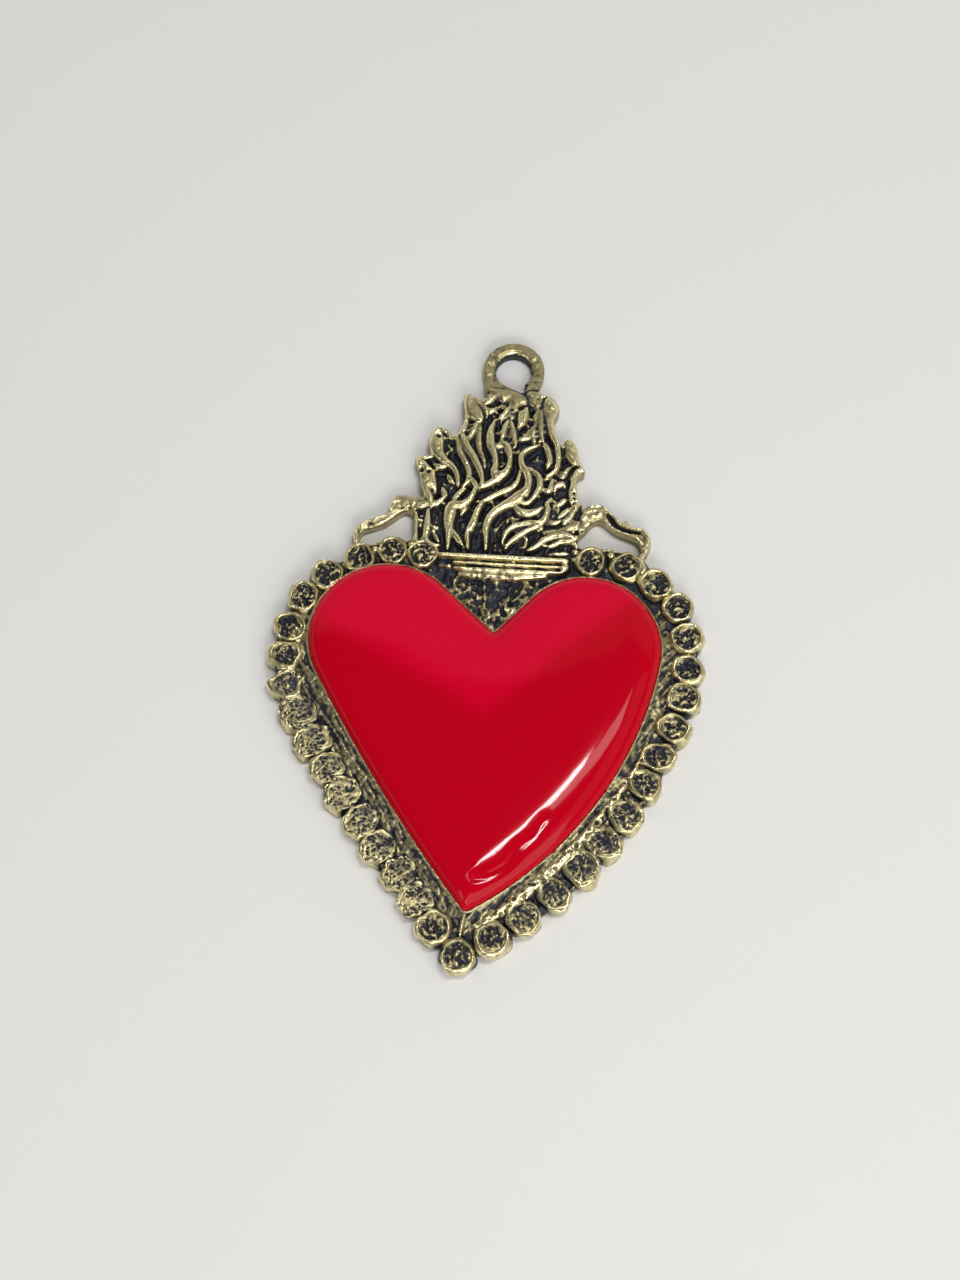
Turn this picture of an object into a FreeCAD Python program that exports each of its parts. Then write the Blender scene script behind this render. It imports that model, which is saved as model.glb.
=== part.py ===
import FreeCAD, Part
import math
import os

from FreeCAD import Vector

# Sacred heart pendant: a flat casting with a cell of red enamel.
# It lies on its back, face up. The origin is the middle of the hanging hole, on the flat
# back. +Y runs up the pendant past the top of the ring, +X to the right as the face is
# seen, and +Z out of the face. All lengths are in millimetres.

os.makedirs("parts", exist_ok=True)

# Heights above the flat back
plate_thickness = 1.1
crown_field_height = 0.9
cell_floor_height = 0.7
cell_lip_height = 1.75
bead_height = 1.7
bead_dish_depth = 0.25
flame_height = 1.85
flame_height_step = 0.07
edge_leaf_height = 1.6
ribbon_height = 1.3
bar_height = 2.05
spray_height = 1.5
cord_height = 1.55

# Hanging ring
hole_radius = 1.8
ring_width = 1.0
ring_thickness = 1.2
ring_edge_slope = 0.25
file_notch_depth = 0.35
file_notch_width = 0.9
file_notch_angle = -67

# Enamel heart, set out from its notch
notch_x = 0.3
notch_y = -25.4
left_lobe_out = 9.1
left_lobe_drop = 1.4
left_lobe_radius = 6.75
left_side_radius = 140
right_lobe_out = 8.0
right_lobe_drop = 0.9
right_lobe_radius = 6.5
right_side_radius = 32
heart_depth = 24.7
tip_lean = -0.3
tip_radius = 0.5

# Enamel dome
shoulder_width = 2.6
shoulder_rise = 1.3
shoulder_steps = 3

# Metal round the enamel
cell_lip_width = 0.25
slope_width = 1.15
cord_width = 0.55
cord_offset = 1.25
cord_start = 6
cord_sweep = 40

# Border line, on which the beads are set out
border_left_margin = 3.05
border_left_shift = 1.1
border_left_drop = 1.6
border_left_side_radius = 111
border_right_margin = 2.3
border_right_shift = 0.4
border_right_drop = 1.0
border_right_side_radius = 35
border_notch_rise = 6.0
border_tip_lean = -0.3
border_tip_drop = 3.6
border_lip = 0.5

# Beads
bead_radius = 1.36
bead_rim_width = 0.3
bead_dish_sides = 9
left_beads = 17
right_beads = 16
left_first_bead_angle = 83
right_first_bead_angle = 93

# Saddle plate between the lobes, under the bar and the ribbons
saddle_left = 12.4
saddle_right = 12.7
saddle_rise = 8.1
saddle_slope = 0.9

# Moulded bar between the heart and the flames
bar_length = 11.5
bar_shift = 0.3
bar_rise = 7.15
bar_tilt = 1.0
bar_bed_length = 8.4
bar_bed_breadth = 2.25
bar_bed_height = 1.35
bar_draft = 0.12

# Crown of flames, drawn on a field of its own that is fitted between the bar and the ring
crown_width = 14.4
crown_ring_overlap = 0.45
crown_bar_overlap = 0.5
drawn_width = 14.4
drawn_top = -2.35
drawn_base = -18.0
flame_draft = 0.16
leaf_draft = 0.2
leaf_tip_share = 0.5
ribbon_draft = 0.18
spray_draft = 0.12
cord_draft = 0.15
sink = 0.25

# The bands of the bar, top to bottom: share of its length, place down it, breadth,
# height left off
bar_bands = [
    (1.00, 0.0, 0.62, 0.0),
    (0.88, 0.62, 0.44, 0.12),
    (0.70, 1.30, 0.70, 0.40),
]

# Flames that stand on the crown's field: foot x and y, tip x and y, bend to the left of
# the way up at a third and at two thirds of the length, and width
flames = [
    (-4.3, -17.8, -2.4, -11.6, 0.8, 0.8, 0.9),
    (-3.1, -17.4, -4.2, -14.6, 0.1, 0.1, 0.45),
    (-2.6, -17.6, -1.8, -13.4, 0.35, 0.15, 0.6),
    (-1.1, -17.6, 1.9, -12.0, 1.0, 0.9, 0.85),
    (1.1, -13.2, 1.6, -8.0, -0.75, -0.3, 0.75),
    (1.35, -8.9, 2.9, -7.5, 0.45, 0.35, 0.5),
    (-1.7, -13.2, 1.5, -9.8, -0.25, -0.45, 0.4),
    (-1.9, -12.0, 0.6, -8.0, -0.45, -0.75, 0.45),
    (0.5, -8.6, -0.5, -7.6, -0.3, -0.3, 0.45),
    (-0.5, -10.5, -1.1, -5.4, 0.0, 0.25, 0.55),
    (-1.8, -11.2, -2.4, -6.0, -0.2, -0.1, 0.4),
    (-1.9, -11.4, -4.4, -7.0, 0.1, -0.1, 0.7),
    (-3.3, -12.0, -4.7, -7.2, -0.5, -0.2, 0.5),
    (-4.4, -12.5, -5.5, -9.3, -0.65, -0.5, 0.45),
    (-4.3, -11.7, -5.1, -10.5, -0.05, -0.05, 0.4),
    (-4.1, -13.3, -2.9, -12.0, -0.1, -0.1, 0.4),
    (2.2, -12.9, 3.0, -9.9, -0.45, -0.45, 0.5),
    (3.7, -9.6, 3.4, -6.9, -0.15, -0.15, 0.4),
    (3.3, -6.9, 3.0, -5.2, 0.1, 0.1, 0.4),
    (1.0, -7.8, 0.1, -5.1, -0.05, 0.0, 0.4),
    (1.2, -13.6, 3.7, -13.3, -0.45, -0.4, 0.55),
    (0.4, -16.9, 4.1, -14.0, 0.75, 0.35, 0.4),
    (0.8, -17.3, 4.0, -14.9, 0.3, 0.2, 0.4),
    (2.5, -17.5, 7.2, -15.0, 0.45, 0.3, 0.45),
    (4.3, -17.4, 6.8, -16.2, -0.3, -0.35, 0.35),
    (3.2, -13.7, 5.2, -10.5, 0.15, 0.3, 0.55),
    (4.9, -14.2, 5.7, -11.0, 0.0, 0.15, 0.45),
    (-5.1, -17.4, -6.5, -13.9, 0.75, 0.3, 0.35),
    (-6.7, -17.5, -7.1, -14.3, 0.1, 0.1, 0.35),
    (-5.5, -16.3, -5.6, -14.0, 0.15, 0.1, 0.5),
    (-0.3, -5.1, 0.0, -3.7, 0.1, 0.1, 0.7),
    (0.8, -5.8, 1.9, -3.9, 0.1, 0.1, 1.0),
    (-2.0, -5.1, -1.4, -3.3, 0.1, 0.0, 0.8),
]

# Leaves that make the crown's edge and go right through it, in the same terms
edge_leaves = [
    (-2.3, -5.9, -4.0, -2.7, 0.35, 0.25, 1.7),
    (-3.4, -8.4, -3.8, -4.4, 0.15, 0.2, 0.8),
    (-5.3, -9.9, -6.3, -6.2, 0.25, 0.1, 1.5),
    (-6.3, -14.2, -7.8, -9.2, 0.1, -0.1, 1.6),
    (3.3, -6.6, 3.5, -2.3, 0.0, -0.1, 1.5),
    (4.3, -10.6, 3.8, -5.4, -0.35, -0.1, 0.75),
    (6.1, -10.0, 5.5, -6.4, -0.2, 0.0, 1.3),
    (6.4, -14.2, 6.9, -9.1, 0.3, 0.25, 0.9),
]

# Sides of the crown's field, from the bar to the ring
field_left = [(-7.3, -18.0), (-7.1, -14.5), (-6.9, -12.0), (-5.4, -8.6), (-3.9, -6.2), (-1.9, -2.3)]
field_right = [(7.0, -18.0), (7.0, -14.6), (6.2, -11.6), (5.6, -9.2), (4.0, -6.0), (2.5, -2.3)]

# Leaf spray in the angle of the heart, below the bar: as the flames, set out from the notch
spray = [
    (0.1, 0.9, -0.8, 5.2, 0.1, 0.1, 0.45),
    (-0.5, 2.3, -3.3, 4.9, 0.35, 0.3, 1.1),
    (0.4, 2.2, 2.5, 4.9, -0.3, -0.25, 1.1),
    (1.9, 3.9, 3.9, 5.1, -0.1, -0.1, 0.6),
    (-0.5, 3.2, -1.8, 4.6, 0.1, 0.1, 0.5),
]

# Ribbons, from the crown to the border: share of the way, rise above it, width
left_ribbon_start = (-6.8, -14.3)
left_ribbon_bead = 2
left_ribbon_landing = (-0.3, 1.5)
left_ribbon_rows = [
    (0.0, 0.0, 2.0),
    (0.18, 1.1, 1.5),
    (0.40, 1.05, 1.0),
    (0.65, 0.95, 0.85),
    (0.88, 0.95, 0.65),
    (1.0, 0.0, 0.5),
]
right_ribbon_start = (7.0, -14.9)
right_ribbon_bead = 1
right_ribbon_landing = (1.5, 0.7)
right_ribbon_rows = [
    (0.0, 0.0, 2.1),
    (0.16, 1.55, 1.6),
    (0.36, 1.75, 1.1),
    (0.66, 1.95, 1.0),
    (0.90, 1.75, 0.9),
    (1.0, 0.0, 0.8),
]

UP = Vector(0, 0, 1)


def at_height(points, height):
    return [Vector(p.x, p.y, height) for p in points]


def angle_of(vector):
    return math.atan2(vector.y, vector.x)


def towards(angle):
    return Vector(math.cos(angle), math.sin(angle), 0)


def left_of(way):
    return Vector(-way.y, way.x, 0)


def unit(vector):
    return vector / vector.Length


def circles_meet(centre_a, radius_a, centre_b, radius_b, side):
    """Where two circles cross, to the left (1) or right (-1) of the way from a to b."""
    way = unit(centre_b - centre_a)
    span = (centre_b - centre_a).Length
    along = (span ** 2 + radius_a ** 2 - radius_b ** 2) / (2 * span)
    across = math.sqrt(radius_a ** 2 - along ** 2)
    return centre_a + way * along + left_of(way) * (side * across)


def arc_edge(centre, radius, start, end, height):
    """A counter-clockwise arc from one angle to another."""
    while end <= start:
        end += 2 * math.pi
    circle = Part.Circle(Vector(centre.x, centre.y, height), UP, radius)
    return Part.ArcOfCircle(circle, start, end).toShape()


class Heart:
    """Two round lobes, bowed sides, a sharp notch and a rounded tip."""

    def __init__(self, notch, left_centre, left_radius, left_bow, right_centre, right_radius,
                 right_bow, tip, tip_round):
        self.notch = notch
        self.tip = tip
        self.tip_round = tip_round
        self.centres = (left_centre, right_centre)
        self.radii = (left_radius, right_radius)
        self.bows = (left_bow, right_bow)
        self.normals = []
        self.bow_centres = []
        for number, side in enumerate((1, -1)):
            centre = self.centres[number]
            radius = self.radii[number]
            bow = self.bows[number]
            reach = notch - centre
            lean = math.acos(radius / reach.Length)
            self.normals.append(towards(angle_of(reach) + side * lean))
            self.bow_centres.append(circles_meet(centre, bow - radius, tip, bow, side))

    def bow_angle(self, number):
        """Direction in which a lobe runs into its side."""
        return angle_of(self.centres[number] - self.bow_centres[number])

    def notch_at(self, inset):
        """The notch of the outline moved inwards by a distance."""
        rows = []
        for normal, centre, radius in zip(self.normals, self.centres, self.radii):
            rows.append((normal.x, normal.y, normal.dot(centre) + radius - inset))
        (a, b, e), (c, d, f) = rows
        scale = a * d - b * c
        return Vector((e * d - b * f) / scale, (a * f - e * c) / scale, 0)

    def tip_centre(self, inset):
        reach = [bow - inset - self.tip_round for bow in self.bows]
        left, right = self.bow_centres
        return circles_meet(left, reach[0], right, reach[1], 1)

    def outline(self, inset, height):
        """The closed outline, moved inwards by a distance, at a height."""
        left, right = self.centres
        left_radius, right_radius = [radius - inset for radius in self.radii]
        left_bow, right_bow = [bow - inset for bow in self.bows]
        notch = self.notch_at(inset)
        round_centre = self.tip_centre(inset)
        left_turn = angle_of(round_centre - self.bow_centres[0])
        right_turn = angle_of(round_centre - self.bow_centres[1])
        notch, left_touch, right_touch = at_height(
            [notch, left + self.normals[0] * left_radius, right + self.normals[1] * right_radius],
            height)
        edges = [
            Part.makeLine(notch, left_touch),
            arc_edge(left, left_radius, angle_of(self.normals[0]), self.bow_angle(0), height),
            arc_edge(self.bow_centres[0], left_bow, self.bow_angle(0), left_turn, height),
            arc_edge(round_centre, self.tip_round, left_turn, right_turn, height),
            arc_edge(self.bow_centres[1], right_bow, right_turn, self.bow_angle(1), height),
            arc_edge(right, right_radius, self.bow_angle(1), angle_of(self.normals[1]), height),
            Part.makeLine(right_touch, notch),
        ]
        return Part.Wire(edges)

    def prism(self, inset, low, high):
        face = Part.Face(self.outline(inset, low))
        return face.extrude(UP * (high - low))


def smooth_edge(points, height):
    """A smooth edge through the points: one cubic through four, a spline through more."""
    points = at_height(points, height)
    if len(points) == 4:
        first, second, third, last = points
        curve = Part.BezierCurve()
        curve.setPoles([
            first,
            (second * 18 - third * 9 - first * 5 + last * 2) / 6,
            (third * 18 - second * 9 + first * 2 - last * 5) / 6,
            last,
        ])
    else:
        curve = Part.BSplineCurve()
        curve.interpolate(points)
    return curve.toShape()


def outline_from_edges(left_points, right_points, height, sharp):
    """A closed outline between two smooth edges, meeting in a point or across a short end."""
    left_foot, right_foot = at_height([left_points[0], right_points[0]], height)
    edges = [Part.makeLine(left_foot, right_foot), smooth_edge(right_points, height)]
    if not sharp:
        left_end, right_end = at_height([left_points[-1], right_points[-1]], height)
        edges.append(Part.makeLine(right_end, left_end))
    edges.append(smooth_edge(left_points, height))
    return Part.Wire(Part.__sortEdges__(edges))


def strap(spine, widths, low, high, draft):
    """A raised strip along a spine, with sloping sides and the given top width at each point."""
    ways = []
    for number in range(len(spine)):
        before = spine[max(number - 1, 0)]
        after = spine[min(number + 1, len(spine) - 1)]
        ways.append(unit(after - before))
    sharp = widths[-1] == 0
    wires = []
    for height, spread in ((low, draft), (high, 0)):
        left_points, right_points = [], []
        for point, way, width in zip(spine, ways, widths):
            half = width / 2 + (spread if width else 0)
            left_points.append(point + left_of(way) * half)
            right_points.append(point - left_of(way) * half)
        wires.append(outline_from_edges(left_points, right_points, height, sharp))
    return Part.makeLoft(wires, True, True)


def tongue(row, place, low, high, draft, tip_share=0):
    """A flame or leaf from its foot to its pointed or blunt tip."""
    foot_x, foot_y, tip_x, tip_y, bend_low, bend_high, width = row
    foot = place(foot_x, foot_y)
    tip = place(tip_x, tip_y)
    across = left_of(unit(tip - foot))
    third = foot + (tip - foot) / 3 + across * bend_low
    two_thirds = foot + (tip - foot) * 2 / 3 + across * bend_high
    widths = [width * share for share in (0.75, 1.0, 0.85, tip_share)]
    return strap([foot, third, two_thirds, tip], widths, low, high, draft)


notch = Vector(notch_x, notch_y, 0)
left_lobe = notch + Vector(-left_lobe_out, -left_lobe_drop, 0)
right_lobe = notch + Vector(right_lobe_out, -right_lobe_drop, 0)
tip = notch + Vector(tip_lean, -heart_depth, 0)
heart = Heart(notch, left_lobe, left_lobe_radius, left_side_radius,
              right_lobe, right_lobe_radius, right_side_radius, tip, tip_radius)

border = Heart(notch + Vector(0, border_notch_rise, 0),
               left_lobe + Vector(border_left_shift, -border_left_drop, 0),
               left_lobe_radius + border_left_margin, border_left_side_radius,
               right_lobe + Vector(border_right_shift, -border_right_drop, 0),
               right_lobe_radius + border_right_margin, border_right_side_radius,
               tip + Vector(border_tip_lean, -border_tip_drop, 0), tip_radius)

crown_top = -(hole_radius + ring_width) + crown_ring_overlap
bar_middle = notch + Vector(bar_shift, bar_rise, 0)
crown_base = bar_middle.y - crown_bar_overlap
crown_scale = crown_width / drawn_width
crown_stretch = (crown_top - crown_base) / (drawn_top - drawn_base)


def on_crown(x, y):
    """A place drawn on the crown, fitted between the bar and the ring."""
    return Vector(x * crown_scale, crown_base + (y - drawn_base) * crown_stretch, 0)


def on_spray(x, y):
    return notch + Vector(x, y, 0)


def bead_places():
    """Bead centres, spaced evenly down each side, with one shared at the tip."""
    first_angles = (math.radians(left_first_bead_angle), math.radians(right_first_bead_angle))
    sides = []
    for number, count in enumerate((left_beads, right_beads)):
        centre = border.centres[number]
        radius = border.radii[number]
        turn = centre + towards(border.bow_angle(number)) * radius
        tip_angle = angle_of(border.tip - border.bow_centres[number])
        if number == 0:
            lobe = arc_edge(centre, radius, first_angles[0], border.bow_angle(0), 0)
            side = arc_edge(border.bow_centres[0], border.bows[0], border.bow_angle(0), tip_angle, 0)
        else:
            lobe = arc_edge(centre, radius, border.bow_angle(1), first_angles[1], 0)
            side = arc_edge(border.bow_centres[1], border.bows[1], tip_angle, border.bow_angle(1), 0)
        line = Part.Wire(Part.__sortEdges__([lobe, side]))
        points = line.discretize(Number=count + 1)
        first = centre + towards(first_angles[number]) * radius
        if (points[0] - first).Length > (points[-1] - first).Length:
            points.reverse()
        sides.append(points)
    return sides[0], sides[1]


def make_bead():
    """A round boss with a raised rim, and a face dished in flats down to its middle."""
    boss = Part.makeCylinder(bead_radius, bead_height)
    dish_radius = bead_radius - bead_rim_width
    corners = [towards(2 * math.pi * side / bead_dish_sides) * dish_radius + UP * bead_height
               for side in range(bead_dish_sides)]
    middle = Part.Vertex(0, 0, bead_height - bead_dish_depth)
    dish = Part.makeLoft([Part.makePolygon(corners + corners[:1]), middle], True, True)
    return boss.cut(dish)


def make_ring():
    """The hanging ring with its sloped edge, before the hole is cut."""
    radius = hole_radius + ring_width
    profile = [
        Vector(0, 0, 0),
        Vector(radius, 0, 0),
        Vector(radius, 0, ring_thickness - ring_edge_slope),
        Vector(radius - ring_edge_slope, 0, ring_thickness),
        Vector(0, 0, ring_thickness),
    ]
    face = Part.Face(Part.makePolygon(profile + profile[:1]))
    return face.revolve(Vector(0, 0, 0), UP, 360)


def make_hole():
    """The hanging hole and the small wedge filed at its foot."""
    margin = ring_thickness
    hole = Part.makeCylinder(hole_radius, ring_thickness + 2 * margin, Vector(0, 0, -margin))
    way = towards(math.radians(file_notch_angle))
    seat = math.sqrt(hole_radius ** 2 - (file_notch_width / 2) ** 2)
    points = [
        way * (hole_radius + file_notch_depth),
        way * seat + left_of(way) * (file_notch_width / 2),
        way * (seat / 2),
        way * seat - left_of(way) * (file_notch_width / 2),
    ]
    points = at_height(points, -margin)
    wedge = Part.Face(Part.makePolygon(points + points[:1]))
    return hole.fuse(wedge.extrude(UP * (ring_thickness + 2 * margin)))


def make_saddle():
    """The plate that bridges the lobes and carries the bar."""
    top = notch.y + saddle_rise
    points = [
        Vector(notch.x - saddle_left, top - 2 * saddle_slope, 0),
        Vector(notch.x - saddle_left + 2 * saddle_slope, top - saddle_slope, 0),
        Vector(-crown_width / 2, top - saddle_slope / 2, 0),
        Vector(crown_width / 2, top, 0),
        Vector(notch.x + saddle_right - saddle_slope, top - saddle_slope / 4, 0),
        Vector(notch.x + saddle_right, top - 2 * saddle_slope, 0),
        Vector(notch.x, top - saddle_rise, 0),
    ]
    face = Part.Face(Part.makePolygon(points + points[:1]))
    return face.extrude(UP * plate_thickness)


def make_slope():
    """The sloping band that rises from the plate to the lip of the cell."""
    foot = heart.outline(-cell_lip_width - slope_width, plate_thickness - sink)
    head = heart.outline(-cell_lip_width, cell_lip_height)
    return Part.makeLoft([foot, head], True, True)


def make_cord():
    """The raised moulding beside the enamel on the lower right."""
    number = 1
    centre = heart.bow_centres[number]
    start = angle_of(heart.tip - centre) + math.radians(cord_start)
    end = start + math.radians(cord_sweep)
    wires = []
    for height, width in ((plate_thickness - sink, cord_width + 2 * cord_draft),
                          (cord_height, cord_width)):
        inner = heart.bows[number] + cord_offset - width / 2
        outer = inner + width
        corners = at_height([centre + towards(start) * inner, centre + towards(start) * outer,
                             centre + towards(end) * inner, centre + towards(end) * outer], height)
        wires.append(Part.Wire([
            arc_edge(centre, outer, start, end, height),
            Part.makeLine(corners[3], corners[2]),
            arc_edge(centre, inner, start, end, height),
            Part.makeLine(corners[0], corners[1]),
        ]))
    return Part.makeLoft(wires, True, True)


def slab(length, breadth, top_length, top_breadth, middle, low, high):
    """A straight block that narrows upwards, turned to the bar's tilt."""
    wires = []
    for height, long_side, short_side in ((low, length, breadth), (high, top_length, top_breadth)):
        corners = [
            Vector(-long_side / 2, -short_side / 2, height),
            Vector(long_side / 2, -short_side / 2, height),
            Vector(long_side / 2, short_side / 2, height),
            Vector(-long_side / 2, short_side / 2, height),
        ]
        wires.append(Part.makePolygon(corners + corners[:1]))
    block = Part.makeLoft(wires, True, True)
    block.rotate(Vector(0, 0, 0), UP, bar_tilt)
    block.translate(middle)
    return block


def make_bar():
    """The bar's bed, which narrows towards the heart, and its three bands."""
    down = towards(math.radians(bar_tilt - 90))
    half_top = bar_length / 2
    half_foot = bar_bed_length / 2
    corners = [
        Vector(-half_top, 0, 0),
        Vector(half_top, 0, 0),
        Vector(half_foot, -bar_bed_breadth, 0),
        Vector(-half_foot, -bar_bed_breadth, 0),
    ]
    bed = Part.Face(Part.makePolygon(corners + corners[:1])).extrude(UP * bar_bed_height)
    bed.rotate(Vector(0, 0, 0), UP, bar_tilt)
    bed.translate(bar_middle)
    pieces = [bed]
    for share, place, breadth, left_off in bar_bands:
        length = bar_length * share
        middle = bar_middle + down * place
        pieces.append(slab(length, breadth, length - 4 * bar_draft, breadth - 2 * bar_draft,
                           middle, plate_thickness - sink, bar_height - left_off))
    return pieces


def make_field():
    """The crown's flat field, from the bar up to the ring."""
    left = [on_crown(x, y) for x, y in field_left]
    right = [on_crown(x, y) for x, y in field_right]
    wire = outline_from_edges(left, right, 0, False)
    return Part.Face(wire).extrude(UP * crown_field_height)


def make_ribbon(start, bead, landing, rows, side):
    """A ribbon that leaves the crown, arches and comes down on a bead."""
    first = on_crown(*start)
    last = bead + Vector(*landing, 0)
    rise = left_of(unit(last - first)) * side
    spine = [first + (last - first) * share + rise * height for share, height, width in rows]
    widths = [width for share, height, width in rows]
    return strap(spine, widths, 0, ribbon_height, ribbon_draft)


def make_casting():
    left_line, right_line = bead_places()
    beads = left_line[:-1] + right_line
    pieces = [make_ring(), make_field(), make_saddle(), make_slope(), make_cord()]
    pieces += make_bar()
    bead = make_bead()
    for place in beads:
        pieces.append(bead.translated(place))
    for number, row in enumerate(flames):
        high = flame_height + flame_height_step * (number % 4 - 1)
        pieces.append(tongue(row, on_crown, crown_field_height - sink, high, flame_draft))
    for number, row in enumerate(edge_leaves):
        high = edge_leaf_height + flame_height_step * (number % 3 - 1)
        pieces.append(tongue(row, on_crown, 0, high, leaf_draft, leaf_tip_share))
    for number, row in enumerate(spray):
        high = spray_height - flame_height_step * (number % 3)
        pieces.append(tongue(row, on_spray, plate_thickness - sink, high, spray_draft))
    pieces.append(make_ribbon(left_ribbon_start, left_line[left_ribbon_bead],
                              left_ribbon_landing, left_ribbon_rows, -1))
    pieces.append(make_ribbon(right_ribbon_start, right_line[right_ribbon_bead],
                              right_ribbon_landing, right_ribbon_rows, 1))
    plate = border.prism(-border_lip, 0, plate_thickness)
    body = plate.multiFuse(pieces)
    clear = bar_height + flame_height
    body = body.cut(heart.prism(0, cell_floor_height, clear))
    body = body.cut(make_hole())
    return body.removeSplitter()


def make_enamel():
    """The enamel: straight sides in the cell, and a rounded shoulder up to a flat top."""
    wires = [heart.outline(0, cell_floor_height)]
    for step in range(shoulder_steps + 1):
        angle = math.pi / 2 * step / shoulder_steps
        inset = shoulder_width * (1 - math.cos(angle))
        wires.append(heart.outline(inset, cell_lip_height + shoulder_rise * math.sin(angle)))
    return Part.makeLoft(wires, True, True)


def main():
    made = {"pendant_casting": make_casting(), "enamel_heart": make_enamel()}
    for name, shape in made.items():
        solid = shape.Solids[0]
        print(name, len(shape.Solids), "solid", round(shape.Volume, 1), "mm3", shape.isValid())
        print("   box", shape.BoundBox)
        solid.exportStep("parts/" + name + ".step")


main()
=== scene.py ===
# %% [markdown]
# # A sacred heart pendant, from blank metal to finished piece
# The pendant is one small casting, 58 mm tall and plated antique gold, with a cell of red
# enamel. It lies face up on a pale table. The solid model gives the sizes; these cells add
# what a maker's hand and the plating bath add: carved flames, grainy beads, dark patina in
# the hollows, worn gold on the ridges, and a glossy dome of enamel.
# Everything is written in millimetres, measured from the middle of the hanging hole, and is
# turned into metres only when a mesh is made.

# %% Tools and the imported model
import math

import bpy
import numpy as np
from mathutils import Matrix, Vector, geometry


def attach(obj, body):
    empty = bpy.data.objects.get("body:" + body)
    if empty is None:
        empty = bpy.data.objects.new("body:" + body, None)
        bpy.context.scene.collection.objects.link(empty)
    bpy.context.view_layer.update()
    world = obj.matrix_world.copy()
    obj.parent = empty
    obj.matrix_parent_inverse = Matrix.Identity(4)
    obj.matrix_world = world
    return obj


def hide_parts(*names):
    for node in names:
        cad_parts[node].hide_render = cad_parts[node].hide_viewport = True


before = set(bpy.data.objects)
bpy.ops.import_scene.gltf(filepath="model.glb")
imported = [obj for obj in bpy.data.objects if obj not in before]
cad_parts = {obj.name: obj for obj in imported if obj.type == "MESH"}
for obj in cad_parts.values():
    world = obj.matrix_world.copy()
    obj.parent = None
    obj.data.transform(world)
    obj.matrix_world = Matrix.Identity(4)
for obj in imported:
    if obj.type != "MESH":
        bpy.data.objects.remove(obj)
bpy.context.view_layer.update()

MM = 0.001
print("solids:", sorted(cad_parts))

# %% [markdown]
# ## The camera
# The photographer stood at the foot of the table and looked down steeply. A camera that
# stands close shows perspective even on a small piece, so it is placed at the real distance
# instead of being drawn flat: about 16 cm away, 70 degrees above the table and turned 5
# degrees. The lens then follows from how large the pendant is in the picture.

# %% Camera
camera_place = (4.07, -81.88, 154.7)
camera_height_angle = 70
camera_turn = 5
lens_mm, sensor_mm = 53.44, 36


def new_object(name, data):
    """An object for this data, linked to the scene, at the origin."""
    made = bpy.data.objects.new(name, data)
    bpy.context.scene.collection.objects.link(made)
    return made


camera_data = bpy.data.cameras.new("camera")
camera_data.lens = lens_mm
camera_data.sensor_width = sensor_mm
camera_data.clip_start = 0.01
camera = new_object("camera", camera_data)
camera.location = Vector(camera_place) * MM
camera.rotation_euler = (math.radians(90 - camera_height_angle), 0, math.radians(camera_turn))
bpy.context.scene.camera = camera
bpy.context.scene.view_settings.view_transform = "Standard"
print("camera at", [round(value, 3) for value in camera.location], "m")

# %% [markdown]
# ## Writing node sums as plain sums
# Materials and Geometry Nodes are both trees of small nodes. Wiring each one by hand hides
# the idea under plumbing. A thin wrapper round a socket lets a sum be written as a sum:
# `1 - mask * 0.5` adds the Math nodes by itself. Every other node comes from one method,
# which takes the node's type, its settings and what goes into its sockets.

# %% A wrapper for sockets
class Wire:
    """An output socket that can be used in sums, or, with no socket, a tree to build in."""

    def __init__(self, tree, socket=None):
        self.tree = tree
        self.socket = socket

    def node(self, kind, settings=None, sockets=None, out=0):
        """A new node. Settings are set first, then the sockets' values or links."""
        made = self.tree.nodes.new(kind)
        for name, value in (settings or {}).items():
            setattr(made, name, value)
        for name, value in (sockets or {}).items():
            if isinstance(value, Wire):
                self.tree.links.new(value.socket, made.inputs[name])
            else:
                made.inputs[name].default_value = value
        return Wire(self.tree, made.outputs[out] if len(made.outputs) else made.inputs[0])

    def sibling(self, out):
        """Another output of the same node."""
        return Wire(self.tree, self.socket.node.outputs[out])

    def math(self, operation, *values):
        """A Math node on numbers and wires."""
        return self.node("ShaderNodeMath", {"operation": operation}, dict(enumerate(values)))

    def step(self, low, high):
        """0 below low, 1 above high, and a smooth ramp between."""
        return self.node("ShaderNodeMapRange", {"interpolation_type": "SMOOTHSTEP"},
                         {"Value": self, "From Min": low, "From Max": high})

    def __add__(self, other):
        return self.math("ADD", self, other)

    def __mul__(self, other):
        return self.math("MULTIPLY", self, other)

    def __sub__(self, other):
        return self.math("SUBTRACT", self, other)

    def __rsub__(self, other):
        return self.math("SUBTRACT", other, self)

    __radd__ = __add__
    __rmul__ = __mul__


print("sums on sockets: + - *")

# %% What the materials share
def new_material(name):
    """A material with an empty tree, a bench to build it on, and Object coordinates."""
    material = bpy.data.materials.new(name)
    material.use_nodes = True
    material.node_tree.nodes.clear()
    bench = Wire(material.node_tree)
    return material, bench, bench.node("ShaderNodeTexCoord", out="Object")


def noise(bench, place, scale, detail, roughness=0.5, draw=None):
    """Smooth noise from 0 to 1. A draw number gives each bead noise of its own."""
    sockets = {"Vector": place, "Scale": scale, "Detail": detail, "Roughness": roughness}
    if draw is None:
        return bench.node("ShaderNodeTexNoise", None, sockets)
    sockets["W"] = draw
    return bench.node("ShaderNodeTexNoise", {"noise_dimensions": "4D"}, sockets)


def mixed_colour(bench, share, first, second):
    """Two colours mixed by a share. Sockets 6 and 7 are the Mix node's colours."""
    return bench.node("ShaderNodeMix", {"data_type": "RGBA"},
                      {0: share, 6: first, 7: second}, out=2)


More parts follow.
